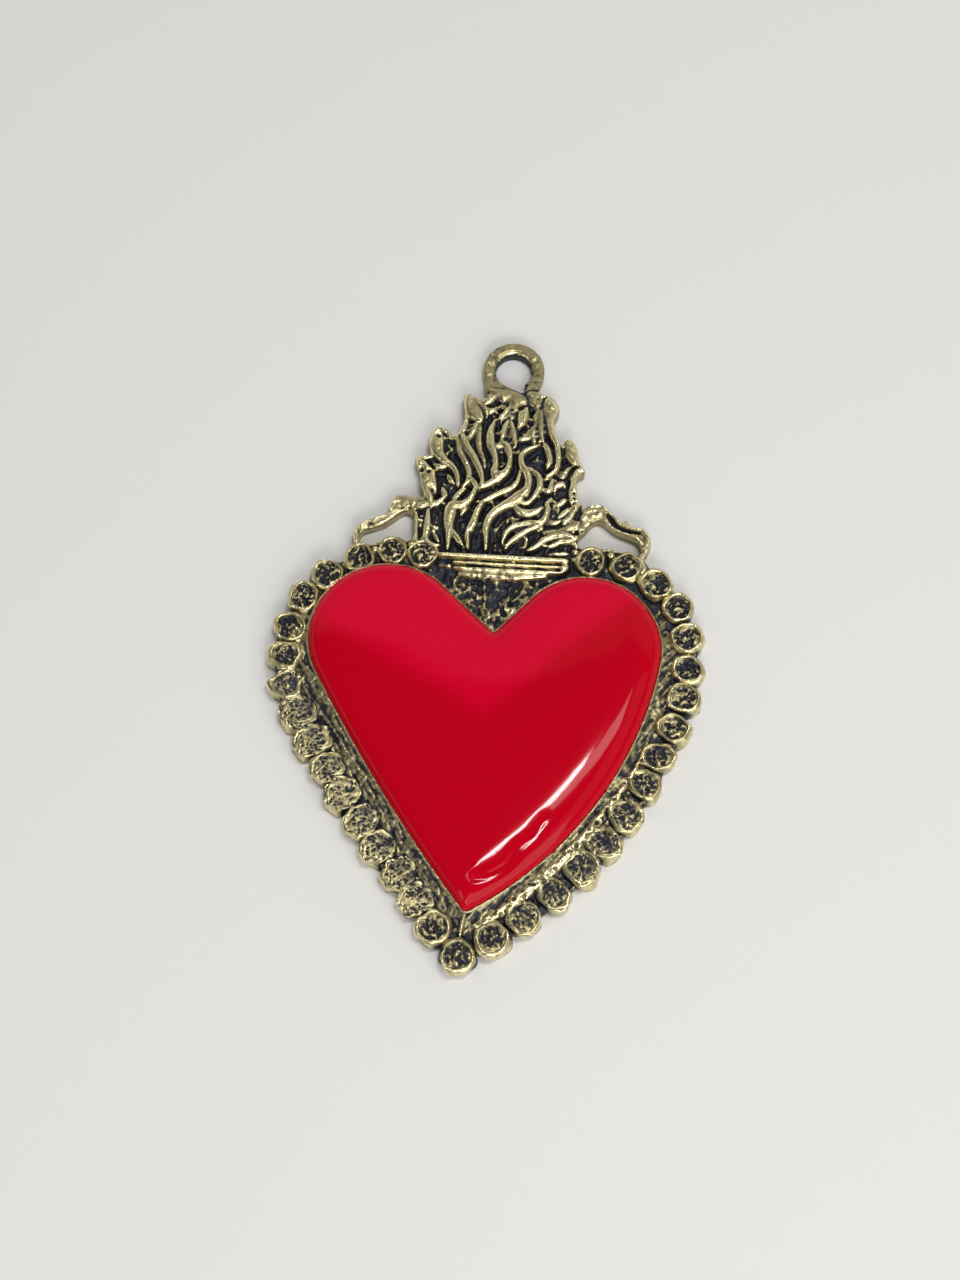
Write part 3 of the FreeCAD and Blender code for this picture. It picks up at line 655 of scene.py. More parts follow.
# %% Flames
flames = [
    (1.8, [(-3.85, -2.9, 0.9), (-3.7, -3.5, 1.1), (-3.4, -4.2, 1.3), (-2.95, -4.8, 1.3),
            (-2.5, -5.3, 0.9)]),
    (1.62, [(-3.35, -3.0, 0.25), (-2.8, -3.55, 0.4), (-2.35, -4.0, 0.4), (-2.0, -4.6, 0.3)]),
    (1.6, [(-2.3, -3.6, 0.3), (-1.8, -3.1, 0.5), (-1.4, -2.7, 0.5)]),
    (1.65, [(-3.85, -4.9, 0.4), (-3.85, -5.7, 0.35), (-3.98, -6.3, 0.35), (-4.1, -6.8, 0.4),
            (-3.95, -7.3, 0.6)]),
    (1.68, [(-2.6, -5.2, 0.5), (-2.9, -5.7, 0.38), (-3.05, -6.3, 0.35), (-3.25, -6.8, 0.35),
            (-3.6, -7.3, 0.6)]),
    (1.86, [(-3.95, -7.0, 0.7), (-3.7, -7.8, 0.85), (-3.2, -8.5, 0.65), (-2.8, -9.1, 0.55),
            (-2.4, -9.8, 0.5), (-2.1, -10.4, 0.45), (-1.9, -11.2, 0.4), (-1.95, -11.8, 0.5)]),
    (1.7, [(-4.65, -7.0, 0.4), (-4.35, -7.6, 0.5), (-4.2, -8.2, 0.42), (-3.95, -8.8, 0.42),
            (-3.6, -9.35, 0.42), (-3.3, -9.9, 0.42), (-3.1, -10.6, 0.48), (-3.15, -11.3, 0.5),
            (-3.55, -12.0, 0.3)]),
    (1.82, [(-6.25, -6.5, 1.0), (-6.3, -7.2, 1.3), (-6.25, -8.2, 1.35), (-5.95, -8.9, 0.9),
            (-5.5, -9.45, 0.62), (-4.9, -9.85, 0.5), (-4.4, -10.35, 0.42),
            (-4.1, -11.0, 0.4), (-3.98, -11.9, 0.3)]),
    (1.5, [(-5.75, -6.3, 0.25), (-5.3, -6.6, 0.35), (-4.98, -7.1, 0.25)]),
    (1.8, [(-7.6, -9.7, 0.9), (-7.25, -10.3, 1.25), (-6.88, -11.0, 1.5),
            (-6.65, -11.8, 1.5), (-6.45, -12.6, 1.35), (-6.3, -13.3, 1.0)]),
    (1.6, [(-6.3, -9.95, 0.35), (-5.7, -10.1, 0.4), (-5.1, -9.9, 0.4)]),
    (1.5, [(-4.98, -10.8, 0.35), (-4.75, -11.2, 0.4), (-4.45, -11.55, 0.3)]),
    (1.45, [(-2.6, -5.6, 0.5), (-2.6, -6.5, 0.5), (-2.55, -7.3, 0.5), (-2.35, -8.2, 0.42),
            (-2.0, -9.0, 0.35), (-1.8, -9.8, 0.3)]),
    (1.85, [(-1.3, -5.3, 0.4), (-1.55, -6.2, 0.6), (-1.55, -7.0, 0.78), (-1.4, -7.7, 0.7),
            (-1.15, -8.3, 0.52), (-0.92, -8.9, 0.4), (-0.85, -9.6, 0.42),
            (-0.9, -10.2, 0.65), (-0.65, -10.62, 0.85), (-0.1, -10.4, 0.7),
            (0.22, -10.0, 0.5), (0.38, -9.4, 0.42), (0.38, -8.8, 0.45), (0.2, -8.1, 0.75),
            (-0.05, -7.6, 0.85), (-0.3, -7.3, 0.5)]),
    (1.8, [(0.2, -10.3, 0.3), (-0.4, -10.85, 0.45), (-1.0, -11.2, 0.5), (-1.5, -11.6, 0.5),
            (-1.95, -11.9, 0.5)]),
    (1.62, [(-0.1, -5.1, 0.35), (-0.35, -5.8, 0.42), (-0.45, -6.6, 0.38), (-0.6, -7.3, 0.3)]),
    (1.75, [(-1.2, -8.0, 0.4), (-0.7, -7.65, 0.5), (-0.1, -7.6, 0.5)]),
    (1.65, [(-0.1, -3.8, 0.4), (-0.45, -4.3, 0.42), (-0.78, -4.85, 0.35)]),
    (1.62, [(0.25, -5.2, 0.35), (0.45, -6.1, 0.4), (0.62, -6.9, 0.38), (0.8, -7.5, 0.3)]),
    (1.72, [(1.4, -3.8, 0.9), (1.25, -4.4, 1.0), (1.2, -5.0, 0.8), (0.9, -5.65, 0.5)]),
    (1.5, [(2.3, -3.4, 0.6), (2.4, -4.2, 0.5), (2.3, -5.0, 0.45), (2.15, -5.8, 0.42),
            (2.3, -6.6, 0.42), (2.45, -7.2, 0.4)]),
    (1.58, [(2.8, -3.9, 0.5), (2.88, -5.0, 0.4), (2.95, -6.0, 0.38), (3.2, -6.8, 0.38)]),
    (1.82, [(3.3, -2.9, 1.3), (3.55, -3.6, 1.6), (3.6, -4.4, 1.05), (3.75, -5.3, 0.55),
            (3.92, -6.0, 0.45), (4.2, -6.6, 0.42), (4.45, -7.2, 0.38), (4.6, -7.9, 0.38),
            (4.66, -8.5, 0.42), (4.66, -9.1, 0.38), (4.5, -9.65, 0.38), (4.15, -10.05, 0.42),
            (3.75, -10.25, 0.3)]),
    (1.94, [(2.75, -7.45, 0.35), (2.15, -7.75, 0.48), (1.7, -8.05, 0.5), (1.42, -8.45, 0.52),
            (1.38, -8.95, 0.55), (1.52, -9.45, 0.55), (1.85, -9.9, 0.55), (2.07, -10.4, 0.55),
            (2.2, -10.9, 0.55), (2.15, -11.5, 0.6), (1.95, -12.0, 0.85), (1.55, -12.5, 1.2),
            (1.05, -12.95, 1.1), (0.4, -13.35, 0.8), (-0.2, -13.8, 0.68),
            (-0.7, -14.3, 0.68), (-1.03, -14.9, 0.7), (-1.18, -15.6, 0.62),
            (-1.12, -16.3, 0.5), (-1.06, -17.0, 0.38), (-1.05, -17.6, 0.25)]),
    (1.74, [(2.1, -9.6, 0.4), (2.7, -10.0, 0.45), (3.05, -10.4, 0.52), (3.2, -10.9, 0.52),
            (3.2, -11.4, 0.48), (3.0, -11.95, 0.42), (2.7, -12.5, 0.36), (2.3, -12.95, 0.4),
            (1.7, -13.1, 0.5)]),
    (1.74, [(3.3, -7.1, 0.38), (3.6, -7.6, 0.48), (3.85, -8.3, 0.42), (3.95, -8.8, 0.42),
            (3.72, -9.5, 0.35)]),
    (1.72, [(5.6, -6.7, 0.85), (5.75, -7.4, 1.08), (5.95, -8.2, 1.05), (6.15, -8.85, 0.85)]),
    (1.45, [(5.95, -9.0, 0.25), (5.5, -9.45, 0.3), (5.2, -10.05, 0.45), (4.8, -10.05, 0.4)]),
    (1.7, [(7.05, -9.5, 0.5), (6.5, -9.55, 0.6), (6.3, -10.2, 0.5), (6.25, -11.0, 0.65),
            (6.22, -11.8, 0.75), (6.38, -12.5, 0.78), (6.55, -13.2, 0.7)]),
    (1.62, [(4.55, -11.6, 0.3), (4.75, -11.1, 0.36), (5.15, -10.85, 0.38), (5.45, -11.15, 0.3)]),
    (1.58, [(4.3, -10.5, 0.3), (4.2, -11.05, 0.32), (4.05, -11.65, 0.35), (3.5, -11.5, 0.4)]),
    (1.74, [(-1.75, -13.3, 0.42), (-1.4, -13.0, 0.42), (-0.9, -12.7, 0.42),
            (-0.4, -12.35, 0.42), (0.2, -12.0, 0.42), (0.7, -11.7, 0.38), (1.1, -11.25, 0.38),
            (1.3, -10.7, 0.35), (1.35, -9.9, 0.28)]),
    (1.84, [(1.2, -13.4, 0.5), (1.6, -13.85, 0.65), (2.2, -14.0, 0.7), (2.8, -13.88, 0.6),
            (3.25, -13.65, 0.45), (3.6, -13.35, 0.35)]),
    (1.4, [(1.7, -14.4, 0.25), (1.3, -14.6, 0.3), (1.05, -14.85, 0.25)]),
    (1.76, [(0.35, -16.75, 0.3), (0.5, -16.15, 0.38), (0.8, -15.6, 0.42), (1.3, -15.15, 0.42),
            (2.0, -14.95, 0.42), (2.8, -14.8, 0.52), (3.4, -14.78, 0.55), (3.8, -14.45, 0.5),
            (4.0, -14.0, 0.42), (4.1, -13.4, 0.4), (4.0, -12.9, 0.4), (4.35, -12.4, 0.38)]),
    (1.74, [(0.65, -17.3, 0.25), (0.95, -16.8, 0.38), (1.3, -16.4, 0.38), (1.8, -15.95, 0.38),
            (2.3, -15.58, 0.42), (2.8, -15.3, 0.42), (3.4, -15.05, 0.45)]),
    (1.72, [(2.6, -17.3, 0.3), (3.2, -16.95, 0.45), (3.6, -16.6, 0.42), (4.0, -16.2, 0.42),
            (4.6, -15.9, 0.45), (5.2, -15.68, 0.5), (5.8, -15.6, 0.5), (6.4, -15.8, 0.4),
            (7.0, -15.7, 0.35), (7.5, -15.15, 0.35)]),
    (1.55, [(3.9, -15.5, 0.4), (4.6, -15.45, 0.5), (5.4, -15.3, 0.5), (6.2, -14.9, 0.6),
            (7.0, -14.4, 0.95)]),
    (1.42, [(4.5, -17.45, 0.22), (5.3, -17.3, 0.28), (6.15, -17.15, 0.3)]),
    (1.58, [(4.4, -16.75, 0.3), (4.9, -16.5, 0.38), (5.3, -16.2, 0.38), (5.95, -16.1, 0.3),
            (6.5, -16.2, 0.32), (6.9, -16.5, 0.35)]),
    (1.58, [(6.1, -13.1, 0.4), (5.5, -13.7, 0.32), (5.05, -14.05, 0.28)]),
    (1.62, [(6.4, -13.3, 0.5), (6.15, -13.9, 0.4), (5.85, -14.25, 0.38), (5.55, -14.65, 0.25)]),
    (1.48, [(5.65, -12.3, 0.35), (5.3, -12.6, 0.42), (4.95, -12.95, 0.3)]),
    (1.42, [(4.2, -14.1, 0.25), (4.4, -14.5, 0.28), (4.85, -14.5, 0.3), (5.3, -14.3, 0.25)]),
    (1.88, [(-4.36, -17.8, 0.3), (-4.36, -17.2, 0.35), (-4.38, -16.5, 0.5),
            (-4.42, -15.8, 0.75), (-4.48, -15.1, 0.95), (-4.45, -14.4, 1.05),
            (-4.2, -13.8, 0.95), (-3.6, -13.7, 0.75), (-3.0, -13.35, 0.5),
            (-2.72, -12.9, 0.42), (-2.5, -12.35, 0.42), (-2.4, -11.8, 0.42),
            (-2.65, -11.35, 0.42), (-3.0, -11.0, 0.4)]),
    (1.66, [(-4.3, -13.5, 0.5), (-4.15, -13.1, 0.35), (-3.9, -12.6, 0.3), (-3.5, -12.1, 0.3)]),
    (1.62, [(-3.0, -13.9, 0.3), (-3.35, -14.2, 0.42), (-3.45, -14.55, 0.3)]),
    (1.8, [(-4.15, -16.0, 0.45), (-3.8, -16.4, 0.4), (-3.45, -16.85, 0.35),
            (-3.1, -17.25, 0.22)]),
    (1.82, [(-2.58, -17.6, 0.25), (-2.65, -17.0, 0.32), (-2.75, -16.4, 0.4),
            (-2.6, -15.8, 0.6), (-2.38, -15.3, 0.65), (-2.25, -14.8, 0.52),
            (-2.1, -14.2, 0.52), (-1.9, -13.7, 0.5), (-1.75, -13.2, 0.4)]),
    (1.66, [(-6.4, -14.3, 0.4), (-6.35, -15.2, 0.5), (-6.35, -16.1, 0.52), (-6.4, -16.8, 0.42),
            (-6.1, -17.2, 0.35), (-5.6, -17.45, 0.38), (-5.05, -17.4, 0.3)]),
    (1.62, [(-7.45, -14.6, 0.3), (-7.38, -15.8, 0.35), (-7.3, -16.6, 0.38),
            (-7.25, -17.1, 0.42), (-6.85, -17.55, 0.35)]),
    (1.6, [(-7.6, -13.6, 0.6), (-7.1, -14.0, 0.5), (-6.5, -13.7, 0.5), (-5.9, -13.7, 0.55),
            (-5.5, -13.5, 0.45), (-5.05, -13.0, 0.4)]),
    (1.5, [(-5.35, -12.1, 0.35), (-5.15, -12.6, 0.42), (-4.95, -13.05, 0.35)]),
    (1.35, [(-5.85, -15.9, 0.22), (-5.55, -16.5, 0.25), (-5.2, -17.0, 0.22)]),
]
flame_base, flame_edge, crest_shift = 0.95, 0.32, -0.18
for top, flame in flames:
    lay([(x, y + crest_shift - 0.25 * smooth_step(-y, 13, 17.5), width + flame_edge)
         for x, y, width in flame], top, flame_base, ends=0.5, back=4)
crests = (height > 1.45) * 1.0
print("crown:", len(flames), "tongues")

# %% [markdown]
# ## The crown's neck, lumps and pits
# Under the ring the flames run together into a lumpy neck, and between the tongues the ground
# is rough. Neither has a clear line, so broad straps make the neck and soft round mounds with
# grain make the rest. The pits that can be told apart in the photograph are sunk one by one.

# %% Neck
neck = [
    (1.45, [(-2.1, -0.9, 1.2), (-1.6, -1.9, 1.6), (-0.4, -2.6, 1.6), (1.0, -3.1, 1.5)]),
    (1.5, [(2.4, -0.9, 1.2), (2.15, -2.0, 1.7), (2.3, -2.9, 1.9), (3.0, -3.4, 1.6)]),
    (1.4, [(-2.6, -3.3, 0.6), (-1.7, -2.9, 0.9), (-0.6, -3.1, 1.0), (0.4, -3.5, 0.9)]),
    (1.5, [(0.3, -2.9, 0.8), (0.6, -3.6, 1.0), (1.2, -4.4, 1.2), (1.3, -5.1, 0.8)])]
for top, strap in neck:
    lay(strap, top, flame_base, ends=0.8, back=4)
rim = smooth_step(crown, -0.65, -0.25) * (up > -13) * smooth_step(from_hole, 3.3, 3.8)
height = np.where(crown < 0, np.maximum(height, crown_height + 0.62 * rim), height)
print("neck:", len(neck), "straps")

# %% Lumps of the ground
rough_places = [
    (0.2, -3.9, 1.3, 0.55), (2.5, -4.1, 0.9, 0.6), (-1.9, -4.4, 0.9, 0.5), (1.5, -5.6, 0.9, 0.5),
    (-2.6, -6.6, 0.6, 0.35), (-4.95, -8.2, 0.6, 0.4), (-1.3, -3.9, 0.8, 0.45),
    (-6.5, -9.5, 0.6, 0.5), (1.4, -6.3, 0.8, 0.5), (2.4, -4.6, 0.6, 0.4), (2.6, -11.3, 0.5, 0.4),
    (1.5, -10.9, 0.35, 0.4), (0.0, -12.8, 0.9, 0.35), (1.0, -14.3, 0.7, 0.35),
    (2.1, -16.5, 0.8, 0.4), (-6.9, -16.0, 0.5, 0.4), (-5.4, -15.8, 0.7, 0.4),
    (-5.7, -14.3, 0.6, 0.35), (-5.2, -12.6, 0.5, 0.4), (4.6, -13.4, 0.7, 0.5),
    (4.5, -12.4, 0.5, 0.4), (5.0, -9.7, 0.5, 0.4), (2.7, -8.4, 0.6, 0.12), (5.6, -16.6, 0.6, 0.2),
    (0.2, -17.3, 0.6, 0.25), (-0.1, -16.0, 0.35, 0.25), (3.0, -17.4, 0.7, 0.25)]


def mound(x, y, radius):
    """A soft round hill of height 1 about a place measured on the crests."""
    return np.exp(-((across - x) ** 2 + (up - y - crest_shift) ** 2) / radius ** 2)


rough = np.zeros(across.shape)
for x, y, radius, rise in rough_places:
    rough += rise * mound(x, y, radius) * (0.75 + 1.1 * middle + 0.7 * fine)
near_crest = soften(crests, 4, crown < 0) + 0.3 * middle + 0.15 * fine
skirt = smooth_step(near_crest, 0.45, 0.62) * (0.42 + 0.16 * fine + 0.12 * middle)
rough = np.maximum(np.minimum(rough, 0.55), skirt)
height = np.where(crown < 0, np.maximum(height, crown_height + rough), height)
print("rough places:", len(rough_places))

# %% Pearls and pits
for share in np.linspace(0, 1, 5):
    lay_lump(-4.05 + 0.75 * share, -13.3 + 1.0 * share, 0.17, 1.78, 1.4)
pits_seen = [(-1.2, -3.4, 0.3), (1.0, -3.7, 0.26), (2.0, -3.9, 0.28), (-0.9, -4.1, 0.3),
             (1.95, -5.1, 0.3), (-6.1, -7.2, 0.22), (-7.35, -10.6, 0.24), (-6.7, -10.75, 0.18),
             (-6.15, -12.5, 0.26), (-5.95, -12.9, 0.22), (6.3, -11.75, 0.14),
             (6.35, -12.2, 0.14), (6.3, -12.7, 0.14), (2.05, -12.65, 0.14), (-2.45, -16.3, 0.13)]
pit_depth = 0.45
for x, y, radius in pits_seen:
    height = np.where(crown < 0, height - pit_depth * mound(x, y, radius), height)
print("pits:", len(pits_seen))

# %% [markdown]
# ## Ribbons, ledges and the hanging ring
# Two ribbons of metal loop from the crown to the beads. The left one is a worn strap with a
# bright lower edge, the right one has a channel between two rims. The ring is plain, with a
# chamfered hole and a few nicks of the file.

# %% Ribbons and ledges
ribbon_height = 1.3
height = np.where((ribbons < 0) & (crown > 0), ribbon_height, height)
right_channel = [(9.5, -13.6, 0.5), (10.1, -14.3, 0.6), (11.0, -14.9, 0.4),
                 (12.3, -15.1, 0.2)]
channel_window, away, carried = near_line(smooth_line(right_channel), 0.5)
cut = 0.5 * (1 - smooth_step(away / (carried[..., 0] / 2 + 1e-3), 0.5, 1.1))
height[channel_window] -= cut * (ribbons[channel_window] < 0)
lay([(7.7, -12.95, 0.5), (8.4, -12.85, 0.55), (9.1, -13.0, 0.4), (9.9, -13.7, 0.3),
     (10.5, -14.35, 0.4), (11.4, -14.7, 0.35), (12.5, -14.85, 0.5), (13.05, -15.6, 0.6),
     (12.95, -16.6, 0.6), (12.75, -17.3, 0.4)], 1.5, 1.2)
lay([(7.2, -14.1, 0.7), (7.9, -13.6, 1.2), (8.7, -13.45, 1.1)], 1.5, 1.1, ends=0.8, back=4)
lay([(9.0, -14.0, 0.3), (9.9, -14.85, 0.3), (11.0, -15.3, 0.3), (12.1, -15.6, 0.35),
     (12.45, -16.3, 0.3)], 1.42, 1.1)
lay([(-9.5, -13.6, 0.3), (-9.8, -14.6, 0.3), (-10.5, -15.4, 0.35), (-11.8, -16.1, 0.4),
     (-12.5, -17.0, 0.5), (-12.35, -18.0, 0.4)], 1.48, 1.2)
lay([(7.2, -16.98), (9.5, -16.9), (12.0, -17.15)], 1.3, form_base, 0.3)
lay([(-7.6, -17.5), (-9.5, -17.72), (-11.5, -18.3)], 1.3, form_base, 0.3)
for x, y, radius, top in ((-7.55, -17.95, 0.4, 1.5), (-10.65, -18.6, 0.42, 1.5),
                          (9.9, -17.4, 0.4, 1.4), (6.75, -17.35, 0.4, 1.4),
                          (6.7, -18.1, 0.35, 1.4), (-13.1, -20.3, 0.35, 1.4)):
    lay_lump(x, y, radius, top, form_base)
print("ribbon height, mm:", ribbon_height)

# %% The hanging ring
ring_top, chamfer, nick_depth = 1.2, 0.32, 0.34
inside_ring = np.clip(chamfer - (from_hole - ring_inner), 0, chamfer)
ring_form = ring_top - 0.9 * inside_ring + 0.012 * middle
on_ring = (ring < 0) | ((ring_slant < 0) & (up > -2.9))
on_neck = smooth_step(-up, 0.9, 2.4)
height = np.where(on_ring, np.where(up > -0.9, ring_form,
                                    np.maximum(ring_form, height * on_neck)), height)
for x, y in ((1.8, 1.0), (1.95, 0.2), (2.05, -0.3), (-1.9, 1.3), (-2.05, 0.35), (-1.95, -0.8)):
    nick = np.array([(x * 0.75, y * 0.75), (x * 1.08, y * 1.08)])
    nick_window, away, _ = near_line(nick, 0.3)
    height[nick_window] -= nick_depth * (1 - smooth_step(away, 0.04, 0.16))
print("ring:", ring_inner, "to", ring_outer, "mm")

# %% [markdown]
# ## Grain, rounded edges and the relief number
# Now the casting gets its skin: lumps on the flanks and hollows, pits on the crests, and an
# edge that is rounded off all along the silhouette. Last, each spot is compared with the
# average round it. That difference is the relief number the gold material reads.

# %% Skin and rounded edges
metal = (silhouette < 0.2) & (from_enamel > -0.2)
plain = (ring < 0.1) | (from_enamel < wall_width) | on_bar
crests = smooth_step(height, 1.35, 1.6) * (crown < 0) * (from_enamel > 0)
lump_rise, grain_rise, pit_sink = 0.035, 0.022, 0.14
height += np.where(plain, 0, (lump_rise * middle + grain_rise * fine) * (1 - 0.55 * crests))
height -= np.where(plain, 0, pit_sink * smooth_step(pits, 0.5, 0.8) * (1 - 0.7 * crests))
height = height * 0.5 + soften(height, 1, metal) * 0.5

edge_round = 0.2
inner = np.clip(-silhouette, 0, edge_round)
height -= edge_round - np.sqrt(edge_round ** 2 - (edge_round - inner) ** 2)
print("skinned spots:", int(metal.sum()))

# %% The relief number
# The darkest number, set on the hanging hole and its wall all round, which turn black.
hole_wall_darkest = -2.5
above_wide = np.clip((height - soften(height, 6, metal)) / 0.22, -1, 1)
above_near = np.clip((height - soften(height, 2, metal)) / 0.07, -1, 1)
deep = smooth_step(height, 1.0, 1.35)
relief = 0.3 * above_wide + 0.4 * above_near + (deep - 0.85) * 0.85
in_crown = smooth_step(-crown, -0.1, 0.4)
relief += in_crown * (0.2 * above_near - 0.2)
proud = smooth_step(height - slope, 0.08, 0.3)
band_relief = 0.3 * relief + 0.9 * proud - 0.28 + 0.22 * streaks + 0.22 * scores + 0.15 * fine
relief = np.where(band > 0, band_relief, relief)
near_wall = smooth_step(0.9 - from_enamel, 0, 0.7)
carved = smooth_step(height, 1.1, 1.3)
spray_relief = 0.75 * carved - 0.78 + 0.45 * middle + 0.45 * fine + 0.5 * near_wall
relief = np.where(in_spray, spray_relief, relief)
relief = np.where(from_enamel < wall_width, 0.2, relief)
on_flat = (ring < -0.05) & (up > -1.6)
# The left of the ring's face is made darker here: painted shade.
flat_relief_and_shade = 0.02 - 0.12 * smooth_step(-across, 0.3, 2.2)
flat_relief_and_shade += 2.2 * inside_ring + 0.25 * middle + 0.15 * fine
relief = np.where(on_flat, flat_relief_and_shade, relief)
relief = np.where(on_bar, np.where(height > 1.66, 0.75 + 0.25 * middle, -0.9), relief)
relief = np.where((silhouette > -0.05) & (plate > 0.05), 0.15 + 0.35 * broad, relief)
relief = np.where(hole < 0.06, hole_wall_darkest, relief)
print("relief number, mean on the metal:", round(relief[metal].mean(), 2))

# %% [markdown]
# ## From heights to a closed casting
# A height grid alone is a skin. To be a casting it needs walls down to the flat back and a
# floor in the enamel's cell. The grid's squares inside the silhouette are kept, the squares'
# outer corners are moved onto the true outline so that it isn't stepped, and each outer edge
# drops a wall. The back and the floor are flat sheets cut to the same corners.

# %% Which squares belong to the casting
outline = np.maximum(silhouette, -from_enamel)
middle_of = (outline[:-1, :-1] + outline[1:, :-1] + outline[:-1, 1:] + outline[1:, 1:]) / 4
kept = middle_of < 0
for _ in range(8):
    a, b, c, d = kept[:-1, :-1], kept[1:, :-1], kept[:-1, 1:], kept[1:, 1:]
    kept[:-1, :-1] |= b & c & ~a & ~d
    kept[1:, :-1] |= a & d & ~b & ~c
in_cell = (from_enamel[:-1, :-1] + from_enamel[1:, 1:]) / 2 < 0

slope_x, slope_y = np.gradient(outline, pitch)
steep = np.maximum(slope_x ** 2 + slope_y ** 2, 0.25)
push = np.clip(-outline / steep, -0.45 * pitch, 0.45 * pitch)
padded = np.pad(kept, 1)
around = (padded[:-1, :-1].astype(int) + padded[1:, :-1] + padded[:-1, 1:] + padded[1:, 1:])
on_edge = (around > 0) & (around < 4)
place_x = across + np.where(on_edge, push * slope_x, 0)
place_y = up + np.where(on_edge, push * slope_y, 0)
print("squares:", int(kept.sum()), "edge corners:", int(on_edge.sum()))


# %% The casting's mesh
def make_mesh(name, points, faces, material, flat_from=None):
    """A smooth mesh from points in mm, wrapped in an object at the origin."""
    mesh = bpy.data.meshes.new(name)
    mesh.from_pydata(np.asarray(points) * MM, [], faces)
    mesh.materials.append(material)
    smooth = np.ones(len(mesh.polygons), bool)
    if flat_from is not None:
        smooth[flat_from:] = False
    mesh.polygons.foreach_set("use_smooth", smooth)
    return new_object(name, mesh)


def store(mesh, name, values, kind="FLOAT"):
    """Keeps a number or a vector for each corner of a mesh, under a name."""
    attribute = mesh.attributes.new(name, kind, "POINT")
    attribute.data.foreach_set("value" if kind == "FLOAT" else "vector",
                               np.asarray(values, np.float32).ravel())


print("a piece's mesh is made in mm and kept in metres")

# %% A flat sheet between outlines
def sheet_between(points, edges, facing):
    """Triangles between closed loops of edges. The sheet lies to the left of its edges if
    it faces down and to their right if it faces up, so holes stay open."""
    corners = sorted({corner for edge in edges for corner in edge})
    where = {corner: place for place, corner in enumerate(corners)}
    flat = [Vector(points[corner][:2]) for corner in corners]
    wires = [(where[a], where[b]) for a, b in edges]
    made = geometry.delaunay_2d_cdt(flat, wires, [], 1, 1e-7)
    faces = [[corners[made[3][corner][0]] for corner in face] for face in made[2]]
    sides = [list(zip(face, face[1:] + face[:1])) for face in faces]
    owner = {side: n for n, three in enumerate(sides) for side in three}
    fence = {(a, b) for a, b in edges} | {(b, a) for a, b in edges}
    todo = [owner[(a, b) if facing < 0 else (b, a)] for a, b in edges]
    wanted = set(todo)
    while todo:
        for a, b in sides[todo.pop()]:
            beside = owner.get((b, a))
            if (a, b) not in fence and beside is not None and beside not in wanted:
                wanted.add(beside)
                todo.append(beside)
    return [faces[n][::facing] for n in sorted(wanted)]


print("sheets follow their outlines, with holes left open")

# %% The casting's face
cell_floor = 0.7
used = around > 0
number = np.full(across.shape, -1)
number[used] = np.arange(used.sum())
points = np.column_stack([place_x[used], place_y[used], height[used]])
i, j = np.nonzero(kept)
faces = np.column_stack([number[i, j], number[i + 1, j], number[i + 1, j + 1],
                         number[i, j + 1]]).tolist()
walls = []
for shift, first, second in (((0, -1), (0, 0), (1, 0)), ((1, 0), (1, 0), (1, 1)),
                             ((0, 1), (1, 1), (0, 1)), ((-1, 0), (0, 1), (0, 0))):
    open_side = ~padded[1 + i + shift[0], 1 + j + shift[1]]
    beyond = in_cell[np.clip(i + shift[0], 0, kept.shape[0] - 1),
                     np.clip(j + shift[1], 0, kept.shape[1] - 1)]
    for p, q, cell in zip(i[open_side], j[open_side], beyond[open_side]):
        walls.append((number[p + first[0], q + first[1]],
                      number[p + second[0], q + second[1]], bool(cell)))
print("walls:", len(walls))

# %% Walls, back and floor
low_points, low_number, sheets = [], {}, {True: [], False: []}


def low_corner(top_corner, cell):
    """The corner under one of the face's, on the cell's floor or on the back."""
    key = (top_corner, cell)
    if key not in low_number:
        low_number[key] = len(points) + len(low_points)
        level = cell_floor if cell else 0.0
        low_points.append((points[top_corner][0], points[top_corner][1], level))
    return low_number[key]


for a, b, cell in walls:
    a_low, b_low = low_corner(a, cell), low_corner(b, cell)
    faces.append((b, a, a_low, b_low))
    sheets[cell].append((a_low, b_low))
casting_points = np.vstack([points, low_points])
flat_from = len(faces)
for cell, facing in ((True, 1), (False, -1)):
    faces += sheet_between(casting_points, sheets[cell], facing)
casting = make_mesh("casting_relief", casting_points, faces, gold, flat_from)
near_hole, plain_wall = 2.1, 0.1
values = np.where(np.hypot(*casting_points[:, :2].T) < near_hole, hole_wall_darkest, plain_wall)
values[:len(points)] = relief[used]
store(casting.data, "relief", values)
casting.data.calc_loop_triangles()
print("casting:", len(casting.data.loop_triangles), "triangles")

# %% [markdown]
# ## The beads of the border
# Thirty-four beads ring the heart: coins with a raised rim round a grainy dish. Towards the
# lower left they melt into flat petals that sink towards the heart. They repeat along a
# path, so Geometry Nodes set them: a chain of points carries each bead's turn, size and
# petal share, one blank bead is set on every point, and noise that differs from bead to bead
# makes the grain.

